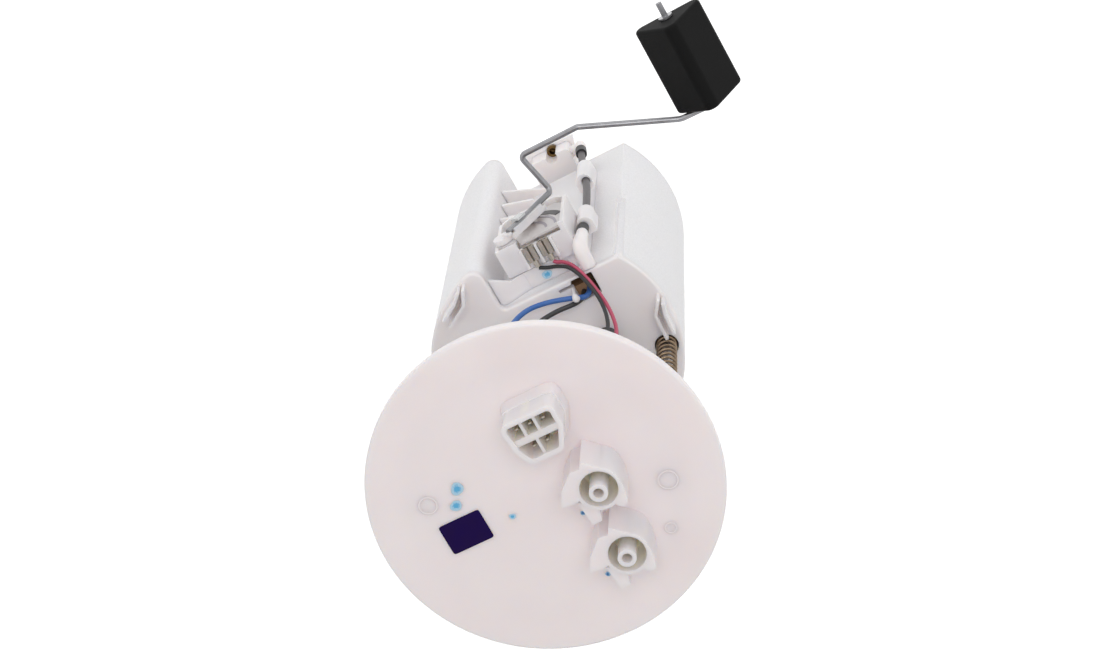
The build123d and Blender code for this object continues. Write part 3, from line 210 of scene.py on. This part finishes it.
def seen(tree):
    """One where a ray comes from the camera, off a mirror or through glass: such rays show the
    background in full, and all others only take light from it."""
    path = add(tree, "ShaderNodeLightPath").outputs
    mirror = combined(tree, path["Is Camera Ray"], path["Is Glossy Ray"], "MAXIMUM")
    return combined(tree, mirror, path["Is Transmission Ray"], "MAXIMUM")


# ---- Materials ----------------------------------------------------------------------------
def acetal(name, light, shade, grain_mm, relief_mm, roughness, milk=0.5, milk_mm=4.0, speck=0.0,
           wells=()):
    """Injection-moulded acetal: milky white, light sinks in, so edges, thin ribs and the floors
    of cavities glow: milk is the share of light that sinks in, milk_mm how far. The grain is the
    spark-eroded texture of the mould, drawn coarser than real so it shows, and speck brightens
    and darkens its single craters. Down in the wells, given as upright cylinders of x, y, radius
    and mouth height in mm, the colour is painted lighter and warmer with depth: a painted glow
    that stands in for light gone back and forth inside."""
    material, tree, place = blank(name)
    flow = noise(tree, place, 38, 3.0)
    grain = noise(tree, place, grain_mm, Roughness=0.7)
    crater = spread(tree, grain, 1.0 - speck, 1.0 + speck, 0.3, 0.7)
    body = add(tree, "ShaderNodeHueSaturation", {"Color": tint(tree, flow, shade, light),
                                                 "Value": crater}).outputs["Color"]
    height = add(tree, "ShaderNodeSeparateXYZ", {"Vector": place}).outputs["Z"]
    # painted glow: down in each well the colour is mixed towards a light warm tone with depth
    for x, y, radius, mouth in wells:
        reach = distance(tree, place, (x, y, 0), (1, 1, 0))
        inside = spread(tree, reach, 1.0, 0.0, radius * MM, (radius + 0.6) * MM)
        down = spread(tree, height, 1.0, 0.0, (mouth - 6) * MM, mouth * MM)
        body = tint(tree, combined(tree, inside, down, "MULTIPLY"), body, "#FFF7EA")
    glossed(tree, {
        "Base Color": body, "Roughness": spread(tree, flow, roughness - 0.05, roughness + 0.07),
        "IOR": 1.48, "Normal": relief(tree, grain, relief_mm), "Subsurface Weight": milk,
        "Subsurface Radius": (1.0, 0.86, 0.7), "Subsurface Scale": milk_mm * MM})
    return material


def clear_nylon(name="clear_nylon"):
    """Natural nylon, moulded thin: cloudy and half clear, glossy on its edges."""
    material, tree, place = blank(name)
    cloud = noise(tree, place, 9, 3.0)
    glossed(tree, {"Base Color": tint(tree, cloud, "#DFE1E2", "#F3F4F5"), "Roughness": 0.16,
                   "IOR": 1.53, "Transmission Weight": 0.35})
    return material


def moulded(name, dark, pale, roughness):
    """Pigmented engineering plastic or rubber with the faint orange peel of its mould."""
    material, tree, place = blank(name)
    wide = noise(tree, place, 7, 4.0)
    glossed(tree, {"Base Color": tint(tree, wide, dark, pale),
                   "Roughness": spread(tree, wide, roughness - 0.08, roughness + 0.08),
                   "Normal": relief(tree, noise(tree, place, 0.5), 0.04, 0.8)})
    return material


def metal(name, dark, pale, roughness, stretch=(1, 1, 1), scratch_mm=0.6):
    """Bare or plated metal: fine drawn or turned lines along the piece, a little tarnish between
    them."""
    material, tree, place = blank(name)
    along = add(tree, "ShaderNodeMapping", {"Vector": place, "Scale": stretch}).outputs[0]
    lines = noise(tree, along, scratch_mm, 3.0)
    tarnish = noise(tree, place, 6, 4.0)
    glossed(tree, {"Base Color": tint(tree, tarnish, dark, pale), "Metallic": 1.0,
                   "Roughness": spread(tree, lines, roughness - 0.1, roughness + 0.12),
                   "Normal": relief(tree, lines, 0.02, 0.6)})
    return material


def printed_tracks(name="printed_tracks"):
    """Fired thick-film paste on the sender's card: two silver-grey tracks and, farther from the
    arm's axis, the black resistor comb."""
    material, tree, place = blank(name)
    radius = distance(tree, place, ARM_AXIS, (1, 0, 1))
    comb = combined(tree, radius, COMB_RADIUS * MM, "GREATER_THAN")
    glossed(tree, {"Base Color": tint(tree, comb, "#A7A2AB", "#1A1718"), "Roughness": 0.4,
                   "Normal": relief(tree, noise(tree, place, 0.5, 3.0), 0.02)})
    return material


def foam_rubber(name="nitrile_foam"):
    """Closed-cell nitrile foam with a moulded skin: near black, satin, finely pitted."""
    material, tree, place = blank(name)
    pits = add(tree, "ShaderNodeTexVoronoi", {"Vector": place, "Scale": 1 / (0.7 * MM)})
    wide = noise(tree, place, 11, 4.0)
    glossed(tree, {"Base Color": tint(tree, wide, "#0B0B0B", "#141414"),
                   "Roughness": spread(tree, wide, 0.56, 0.72), "Specular IOR Level": 0.1,
                   "Normal": relief(tree, pits.outputs["Distance"], 0.05, 0.6)})
    return material


def filter_felt(name="filter_felt"):
    """Needled polyester felt of the strainer."""
    material, tree, place = blank(name)
    fibre = noise(tree, place, 0.4, 5.0)
    glossed(tree, {"Base Color": tint(tree, fibre, "#C4BFB2", "#E2DED2"), "Roughness": 0.95,
                   "Normal": relief(tree, fibre, 0.1)})
    return material


def ink(name, code, rim):
    """Marker ink on plastic: a wet middle and a pale ring where it ran out and soaked in. The
    piece's own wetness attribute runs from the rim to the middle."""
    material, tree, place = blank(name)
    wet = add(tree, "ShaderNodeAttribute", attribute_name="wetness").outputs["Fac"]
    uneven = combined(tree, noise(tree, place, 0.8, 3.0), wet, "ADD")
    edge = spread(tree, uneven, 0.0, 1.0, 0.75, 1.15)
    glossed(tree, {"Base Color": tint(tree, edge, rim, code), "Roughness": 0.5})
    return material


def paper_label(name, code):
    """Laminated label stock, blank: deep indigo under a satin film."""
    material, tree, place = blank(name)
    film = noise(tree, place, 5, 3.0)
    glossed(tree, {"Base Color": tint(tree, film, code, "#21103F"), "Roughness": 0.6,
                   "Specular IOR Level": 0.06})
    return material


# ---- Mesh helpers -------------------------------------------------------------------------
def linked(name, data):
    """A new object of this data in the scene."""
    made = bpy.data.objects.new(name, data)
    bpy.context.collection.objects.link(made)
    return made


def surface(name, grid, material, wrap=False):
    """Piece from a grid of points: rows run along the form and columns round it. The first and
    last rows are closed with one face each, unless wrap joins them."""
    rows, columns = grid.shape[:2]
    row = np.arange(rows if wrap else rows - 1)[:, None]
    column = np.arange(columns)[None, :]
    after = (row + 1) % rows
    beside = (column + 1) % columns
    corners = [row * columns + column, row * columns + beside,
               after * columns + beside, after * columns + column]
    faces = np.stack(np.broadcast_arrays(*corners), axis=-1).reshape(-1, 4).tolist()
    if not wrap:
        last = (rows - 1) * columns
        faces += [list(range(columns)), list(range(last, last + columns))]
    mesh = bpy.data.meshes.new(name)
    mesh.from_pydata(grid.reshape(-1, 3).tolist(), [], faces)
    shell = bmesh.new()
    shell.from_mesh(mesh)
    bmesh.ops.recalc_face_normals(shell, faces=shell.faces)
    shell.to_mesh(mesh)
    shell.free()
    mesh.shade_smooth()
    mesh.materials.append(material)
    return linked(name, mesh)


def carried(path, radius, side, columns):
    """Grid of a round tube: a circle carried square to the path. Its first axis is the cross
    product of the side direction and the path, and its second is square to both."""
    along = np.gradient(path, axis=0)
    along /= np.linalg.norm(along, axis=1, keepdims=True)
    across = np.cross(np.asarray(side, float), along)
    across /= np.linalg.norm(across, axis=1, keepdims=True)
    up = np.cross(along, across)
    angle = np.linspace(0, 2 * np.pi, columns, endpoint=False)[None, :, None]
    radius = np.broadcast_to(radius, len(path))[:, None, None]
    return path[:, None] + radius * (np.cos(angle) * across[:, None] + np.sin(angle) * up[:, None])


def turned(profile, centre, columns):
    """Grid of a turned form: a closed profile of (radius, height) carried round a Z axis at
    centre."""
    angle = np.linspace(0, 2 * np.pi, columns, endpoint=False)[None, :]
    radius = profile[:, :1]
    x = centre[0] + radius * np.cos(angle)
    y = centre[1] + radius * np.sin(angle)
    return np.stack([x, y, np.broadcast_to(profile[:, 1:], x.shape)], axis=-1)


def spline_points(route, name):
    """Points along the smooth NURBS curve that has the route's points as its control points."""
    curve = bpy.data.curves.new(name, "CURVE")
    curve.dimensions = "3D"
    curve.resolution_u = 10
    spline = curve.splines.new("NURBS")
    spline.points.add(len(route) - 1)
    spline.points.foreach_set("co", np.c_[np.asarray(route) * MM, np.ones(len(route))].ravel())
    spline.order_u = 3
    spline.use_endpoint_u = True
    holder = linked(name, curve)
    line = bpy.data.meshes.new_from_object(holder)
    points = np.empty(len(line.vertices) * 3)
    line.vertices.foreach_get("co", points)
    bpy.data.objects.remove(holder)
    bpy.data.curves.remove(curve)
    bpy.data.meshes.remove(line)
    return points.reshape(-1, 3)


def ends(node):
    """Lowest and highest corner of a CAD node's box, and the middle between them."""
    low, high = (np.array(corner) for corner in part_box(node))
    return low, high, (low + high) / 2


def stretched(piece, node):
    """Stand a piece in for a CAD node that stretches from the flange down to the pot."""
    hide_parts(node)
    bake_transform(piece)


def dress(names, material):
    """Give CAD nodes a finish."""
    for name in names:
        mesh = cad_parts[name].data
        mesh.materials.clear()
        mesh.materials.append(material)


# ---- Sizes and colours a user would change ------------------------------------------------
class SpringSettings(bpy.types.PropertyGroup):
    turns: bpy.props.IntProperty(name="Turns", description="Coils of each return spring",
                                 default=32, min=8)
    wire: bpy.props.FloatProperty(name="Wire", description="Diameter of the spring wire",
                                  default=1.2 * MM, unit="LENGTH", precision=5)
    coil_radius: bpy.props.FloatProperty(name="Coil radius",
                                         description="Radius of the wire's centre line",
                                         default=3.9 * MM, unit="LENGTH", precision=5)


class HoseSettings(bpy.types.PropertyGroup):
    rings: bpy.props.IntProperty(name="Rings", description="Corrugations of each hose",
                                 default=30, min=4)
    depth: bpy.props.FloatProperty(name="Depth", description="Depth of a corrugation",
                                   default=0.9 * MM, unit="LENGTH", precision=5)


class LabelSettings(bpy.types.PropertyGroup):
    width: bpy.props.FloatProperty(name="Width", description="Width of the blank label",
                                   default=17.8 * MM, unit="LENGTH", precision=5)
    length: bpy.props.FloatProperty(name="Length", description="Length of the blank label",
                                    default=13.3 * MM, unit="LENGTH", precision=5)
    code: bpy.props.StringProperty(name="Colour", description="sRGB hex colour of the label",
                                   default="#1A084A")
    ink: bpy.props.StringProperty(name="Ink",
                                  description="sRGB hex colour of the inspection dots",
                                  default="#5BB0DC")


class StageSettings(bpy.types.PropertyGroup):
    level: bpy.props.FloatProperty(name="Light level",
                                   description="Strength of the soft studio light",
                                   default=1.0, min=0.0)
    floor: bpy.props.StringProperty(name="Floor", description="sRGB hex colour of the floor",
                                    default="#FFFFFF")
    drop: bpy.props.FloatProperty(name="Drop",
                                  description="Height of the module above the floor",
                                  default=0.16, unit="LENGTH")


# ---- Pieces -------------------------------------------------------------------------------
class FUELMODULE_OT_mouldings(bpy.types.Operator):
    """Finish the white acetal mouldings"""
    bl_idname = "fuelmodule.mouldings"
    bl_label = "White mouldings"

    def execute(self, context):
        plain = acetal("acetal_flange", "#F5EDEE", "#EFE6E7", grain_mm=0.9, relief_mm=0.02,
                       roughness=0.36, milk=0.9, milk_mm=5.0, wells=FLANGE_WELLS)
        smooth = acetal("acetal_smooth", "#F8F2F2", "#F2EBEB", grain_mm=0.7, relief_mm=0.015,
                        roughness=0.33, milk=0.7)
        grained = acetal("acetal_grained", "#FAF8F9", "#F4F2F4", grain_mm=0.8, relief_mm=0.14,
                         roughness=0.5, milk=0.4, milk_mm=2.5, speck=0.06)
        dress(["mounting_flange"], plain)
        dress(["reservoir_cover", "base_plate", "jet_pump", "elbow_fitting", "sender_bracket",
               "sender_frame", "arm_holder", "pump_holder"], smooth)
        dress(["reservoir_cup"], grained)
        dress(["wire_clip"], clear_nylon())
        return {"FINISHED"}


class FUELMODULE_OT_fittings(bpy.types.Operator):
    """Finish the metal, rubber and dark plastic pieces"""
    bl_idname = "fuelmodule.fittings"
    bl_label = "Metal and rubber fittings"

    def execute(self, context):
        dress(["connector_pins", "sender_terminals", "pump_terminals"],
              metal("tin_plated_brass", "#A29C90", "#D8D3C8", 0.35))
        dress(["guide_rod_right", "guide_rod_left", "pump_shaft", "float_washer"],
              metal("ground_steel_rod", "#8E8E90", "#BDBDC0", 0.3, (1, 1, 0.05)))
        dress(["rod_clips"], metal("blued_spring_steel", "#3A3633", "#5C554E", 0.4))
        dress(["float_arm"], metal("drawn_steel_wire", "#77777A", "#A2A2A5", 0.34, (0.1, 1, 1)))
        dress(["pump_case", "armature"],
              metal("zinc_plated_steel", "#9A9894", "#C8C6C2", 0.4, (1, 1, 0.1)))
        dress(["pump_inlet_cover"], metal("die_cast_aluminium", "#93959A", "#B4B6B8", 0.5))
        dress(["bracket_bush"], metal("turned_brass", "#57452C", "#8A7046", 0.45))
        dress(["contact_wiper"], metal("phosphor_bronze", "#8A5C30", "#B8824C", 0.35))
        dress(["commutator"], metal("copper_bars", "#9A5A38", "#C4805A", 0.35))
        dress(["transfer_tube", "return_pipe"],
              moulded("grey_nylon_tube", "#403B3E", "#565154", 0.45))
        dress(["lead_connector", "tube_collars", "impeller"],
              moulded("black_nylon", "#1C1C1E", "#2C2C2F", 0.5))
        dress(["pump_end_cap", "pump_plug"],
              moulded("brown_phenolic", "#B48A66", "#CCA680", 0.5))
        dress(["pump_cushion", "inlet_valve", "outlet_hose"],
              moulded("black_rubber", "#222224", "#333336", 0.7))
        dress(["pump_magnets"], moulded("ferrite", "#343437", "#454549", 0.55))
        dress(["resistor_card"], moulded("alumina_card", "#D0CCCB", "#DEDADA", 0.4))
        dress(["resistor_tracks"], printed_tracks())
        dress(["suction_filter"], filter_felt())
        dress(["float"], foam_rubber())
        return {"FINISHED"}


class FUELMODULE_OT_springs(bpy.types.Operator):
    """Wind the two return springs round their guide rods"""
    bl_idname = "fuelmodule.springs"
    bl_label = "Return springs"

    def execute(self, context):
        made = context.scene.fuelmodule_springs
        steel = metal("oiled_spring_steel", "#5C4C40", "#A08C74", 0.34, scratch_mm=0.4)
        steps_a_turn = 28
        closed = 0.014                 # share of the height that a closed end coil climbs
        half = made.wire / 2
        # helix: the angle grows evenly, and so does the height but in the closed end coils
        turn = np.linspace(0, made.turns, made.turns * steps_a_turn + 1)
        rise = np.interp(turn, [0, 1, made.turns - 1, made.turns], [0, closed, 1 - closed, 1])
        angle = 2 * np.pi * turn
        for node in ("spring_right", "spring_left"):
            low, high, centre = ends(node)
            path = np.stack([centre[0] + made.coil_radius * np.cos(angle),
                             centre[1] + made.coil_radius * np.sin(angle),
                             low[2] + half + rise * (high[2] - low[2] - made.wire)], axis=-1)
            piece = surface(f"{node}_coil", carried(path, half, (0, 0, 1), 10), steel)
            stretched(piece, node)
        return {"FINISHED"}


class FUELMODULE_OT_hoses(bpy.types.Operator):
    """Corrugate the feed and return hoses"""
    bl_idname = "fuelmodule.hoses"
    bl_label = "Corrugated hoses"

    def execute(self, context):
        made = context.scene.fuelmodule_hoses
        rubber = moulded("corrugated_nylon", "#242426", "#343437", 0.42)
        wall = 1.45 * MM
        end, fade = 0.11, 0.02         # shares of the length: plain end, and its run-out
        share = np.linspace(0, 1, made.rings * 12 + 1)
        # rounded square wave along the hose, held smooth over the two push-on ends
        inside = np.clip((share - end) / fade, 0, 1) * np.clip((1 - end - share) / fade, 0, 1)
        wave = 0.5 + 0.5 * np.tanh(2.2 * np.sin(2 * np.pi * made.rings * share))
        for node in ("feed_hose", "return_hose"):
            low, high, centre = ends(node)
            outer = (high[0] - low[0]) / 2
            outside = np.stack([outer - made.depth * wave * inside,
                                low[2] + share * (high[2] - low[2])], axis=-1)
            bore = np.array([[outer - wall, high[2]], [outer - wall, low[2]]])
            grid = turned(np.r_[outside, bore], centre[:2], 32)
            piece = surface(f"{node}_corrugated", grid, rubber, wrap=True)
            stretched(piece, node)
        return {"FINISHED"}


class FUELMODULE_OT_leads(bpy.types.Operator):
    """Lay the four leads between the plug and the pot"""
    bl_idname = "fuelmodule.leads"
    bl_label = "Leads"

    def execute(self, context):
        for node, (diameter, slot, dark, pale, side, route) in LEADS.items():
            path = spline_points(route, node)
            cover = moulded(f"{node}_insulation", dark, pale, 0.42)
            grid = carried(path, diameter / 2 * MM, side, 12)
            piece = surface(f"{node}_wire", grid, cover)
            stretched(piece, node)
        return {"FINISHED"}


class FUELMODULE_OT_small_parts(bpy.types.Operator):
    """Add the hook that holds the pump lead down and the end of the pin in the bracket's bush"""
    bl_idname = "fuelmodule.small_parts"
    bl_label = "Lead hook and bush pin"

    def execute(self, context):
        # hook: a round stem that leans over the lead and swells into its head
        share = np.linspace(0, 1, 25)
        path = np.stack([
            np.interp(share, (0, 0.6, 1), (-21.3, -21.6, -21.9)),
            np.interp(share, (0, 0.55, 0.7, 1), (-25.6, -25.4, -24.9, -22.0)),
            np.interp(share, (0, 0.6, 0.75, 1), (-123, -116.8, -115.7, -115.4))], axis=-1)
        stem = 0.7 + 0.95 * np.clip((share - 0.6) / 0.2, 0, 1)
        stem = stem * np.sqrt(np.clip((1 - share) / 0.1, 0.02, 1))
        piece = surface("lead_hook", carried(path * MM, stem * MM, (1, 0, 0), 16),
                        bpy.data.materials["acetal_smooth"])
        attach(piece, "pot")
        # pin: a dished head turned about the bush's axis, just inside its far mouth, in a brass
        # darker than the bush's: painted shade of the deep bore
        low, _, centre = ends("bracket_bush")
        profile = np.array([(1.55, 0.0), (1.55, 0.9), (1.2, 1.2), (0.7, 0.8), (0.02, 0.75),
                            (0.02, 0.0)]) * MM
        piece = surface("bush_pin", turned(profile + (0, low[2]), centre[:2], 32),
                        metal("brass_pin_painted_shade", "#453624", "#6E5838", 0.45), wrap=True)
        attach(piece, "pot")
        return {"FINISHED"}


def blot(name, centre, radius, material, body, seed=0.0, stretch=1.0):
    """Thin uneven disc of ink: its radius swells and shrinks twice and three times round."""
    columns = 28
    angle = np.linspace(0, 2 * np.pi, columns, endpoint=False)
    edge = radius * (1 + 0.09 * np.sin(2 * angle + seed) + 0.06 * np.sin(3 * angle + 2 * seed))
    share = np.array([1.0, 1.0, 0.92, 0.8, 0.68, 0.56, 0.44, 0.32, 0.2, 0.02])[:, None]
    rise = np.array([0.0, 0.02, 0.03, 0.04, 0.04, 0.05, 0.05, 0.05, 0.05, 0.05])[:, None]
    grid = np.stack([centre[0] + stretch * share * edge * np.cos(angle),
                     centre[1] + share * edge * np.sin(angle),
                     np.broadcast_to(centre[2] + rise, (len(share), columns))], axis=-1)
    piece = surface(name, grid * MM, material)
    wetness = piece.data.attributes.new("wetness", "FLOAT", "POINT")
    wetness.data.foreach_set("value", np.repeat(1 - share[:, 0], columns))
    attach(piece, body)


class FUELMODULE_OT_marks(bpy.types.Operator):
    """Stick the blank label on the flange, and add the inspection dots and ejector marks"""
    bl_idname = "fuelmodule.marks"
    bl_label = "Label and marks"

    def execute(self, context):
        made = context.scene.fuelmodule_label
        # label: a rounded rectangle, which is a superellipse of high order
        angle = np.linspace(0, 2 * np.pi, 64, endpoint=False)
        corner = 0.12
        across = np.sign(np.cos(angle)) * np.abs(np.cos(angle)) ** corner * made.width / 2
        along = np.sign(np.sin(angle)) * np.abs(np.sin(angle)) ** corner * made.length / 2
        rows = [np.stack([LABEL_CENTRE[0] * MM + across * share,
                          LABEL_CENTRE[1] * MM + along * share,
                          np.full(len(angle), (FLANGE_FACE + rise) * MM)], axis=-1)
                for share, rise in ((1.0, 0.0), (1.0, 0.1), (0.985, LABEL_T), (0.3, LABEL_T),
                                    (0.02, LABEL_T))]
        piece = surface("blank_label", np.array(rows), paper_label("label_stock", made.code))
        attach(piece, "flange")

        blue = ink("marker_ink", made.ink, "#B4D6EA")
        deep = ink("paint_pen_ink", "#3A6FA8", "#8DB9DA")
        for count, (x, y, radius) in enumerate(FLANGE_DOTS):
            blot(f"ink_dot_{count + 1}", (x, y, FLANGE_FACE), radius,
                 blue if radius > PEN_DOT_RADIUS else deep, "flange", count)
        blot("ink_dot_shelf", SHELF_DOT, 1.7, blue, "pot", 5.0, 1.5)

        plain = acetal("acetal_witness", "#F5EDEE", "#EFE6E7", grain_mm=0.9, relief_mm=0.02,
                       roughness=0.36, milk=0.0)
        foot, crest = FLANGE_FACE - 0.1, FLANGE_FACE + 0.012
        for count, (x, y, radius) in enumerate(EJECTOR_MARKS):
            ring = np.array([(radius - 0.8, foot), (radius - 0.8, FLANGE_FACE),
                             (radius - 0.5, crest), (radius - 0.3, crest),
                             (radius, FLANGE_FACE), (radius, foot)]) * MM
            piece = surface(f"ejector_mark_{count + 1}", turned(ring, (x * MM, y * MM), 40),
                            plain, wrap=True)
            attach(piece, "flange")
        return {"FINISHED"}


class FUELMODULE_OT_stage(bpy.types.Operator):
    """Set the camera, the pale floor and the soft studio light"""
    bl_idname = "fuelmodule.stage"
    bl_label = "Stage"

    def execute(self, context):
        made = context.scene.fuelmodule_stage
        lens = bpy.data.cameras.new("view")
        lens.lens = CAMERA_LENS
        lens.sensor_width = CAMERA_SENSOR
        camera = linked("view", lens)
        turn = Matrix((CAMERA_RIGHT, CAMERA_UP, CAMERA_BACK)).transposed().to_4x4()
        camera.matrix_world = Matrix.Translation(CAMERA_PLACE) @ turn
        context.scene.camera = camera

        # pale floor, lifted to white where it is seen, so that it keeps a soft shadow
        material, tree, _ = blank("pale_floor")
        plain = add(tree, "ShaderNodeBsdfDiffuse", {"Color": linear(made.floor)})
        glow = add(tree, "ShaderNodeEmission", {"Color": linear(made.floor),
                                                "Strength": FLOOR_GLOW})
        both = add(tree, "ShaderNodeAddShader", {0: plain.outputs[0], 1: glow.outputs[0]})
        close(tree, add(tree, "ShaderNodeMixShader", {0: seen(tree), 1: plain.outputs[0],
                                                      2: both.outputs[0]}))
        level = CAD_BOX[0][2] - made.drop
        corners = [(x * FLOOR_HALF, y * FLOOR_HALF, level)
                   for x, y in ((-1, -1), (1, -1), (1, 1), (-1, 1))]
        mesh = bpy.data.meshes.new("floor")
        mesh.from_pydata(corners, [], [(0, 1, 2, 3)])
        mesh.materials.append(material)
        linked("floor", mesh)

        world = bpy.data.worlds.new("studio")
        world.use_nodes = True
        tree = world.node_tree
        tree.nodes.clear()
        sky = add(tree, "ShaderNodeBackground", {
            "Color": linear("#FFFFFF"),
            "Strength": spread(tree, seen(tree), SKY_LIGHT * made.level, 1.0)})
        add(tree, "ShaderNodeOutputWorld", {"Surface": sky.outputs[0]})
        context.scene.world = world

        for name, place, size, power in LAMPS:
            lamp = bpy.data.lights.new(name, "AREA")
            lamp.shape = "DISK"
            lamp.size = size
            lamp.energy = power * made.level
            aim = (Vector(place) - Vector(LAMP_AIM)).to_track_quat("Z", "Y")
            linked(name, lamp).matrix_world = (Matrix.Translation(place)
                                               @ aim.to_matrix().to_4x4())
        context.scene.view_settings.view_transform = "Standard"
        return {"FINISHED"}


class FUELMODULE_PT_panel(bpy.types.Panel):
    """Sidebar panel of the fuel pump module"""
    bl_idname = "FUELMODULE_PT_panel"
    bl_label = "Fuel pump module"
    bl_space_type = "VIEW_3D"
    bl_region_type = "UI"
    bl_category = "Fuel Module"

    def draw(self, context):
        for group in GROUPS:
            settings = getattr(context.scene, group)
            for name in settings.__annotations__:
                self.layout.prop(settings, name)
        for operator in OPERATORS:
            self.layout.operator(operator.bl_idname)


GROUPS = {"fuelmodule_springs": SpringSettings, "fuelmodule_hoses": HoseSettings,
          "fuelmodule_label": LabelSettings, "fuelmodule_stage": StageSettings}
# The small parts follow the mouldings, as the hook takes their smooth acetal.
OPERATORS = (FUELMODULE_OT_stage, FUELMODULE_OT_leads, FUELMODULE_OT_springs,
             FUELMODULE_OT_hoses, FUELMODULE_OT_mouldings, FUELMODULE_OT_fittings,
             FUELMODULE_OT_small_parts, FUELMODULE_OT_marks)
CLASSES = (*GROUPS.values(), *OPERATORS, FUELMODULE_PT_panel)


def register():
    for cls in CLASSES:
        bpy.utils.register_class(cls)
    for name, group in GROUPS.items():
        setattr(bpy.types.Scene, name, bpy.props.PointerProperty(type=group))


def unregister():
    for name in GROUPS:
        delattr(bpy.types.Scene, name)
    for cls in reversed(CLASSES):
        bpy.utils.unregister_class(cls)


def main():
    """Register and make every piece in order."""
    register()
    for operator in OPERATORS:
        area, name = operator.bl_idname.split(".")
        getattr(getattr(bpy.ops, area), name)()


if __name__ == "__main__":
    main()
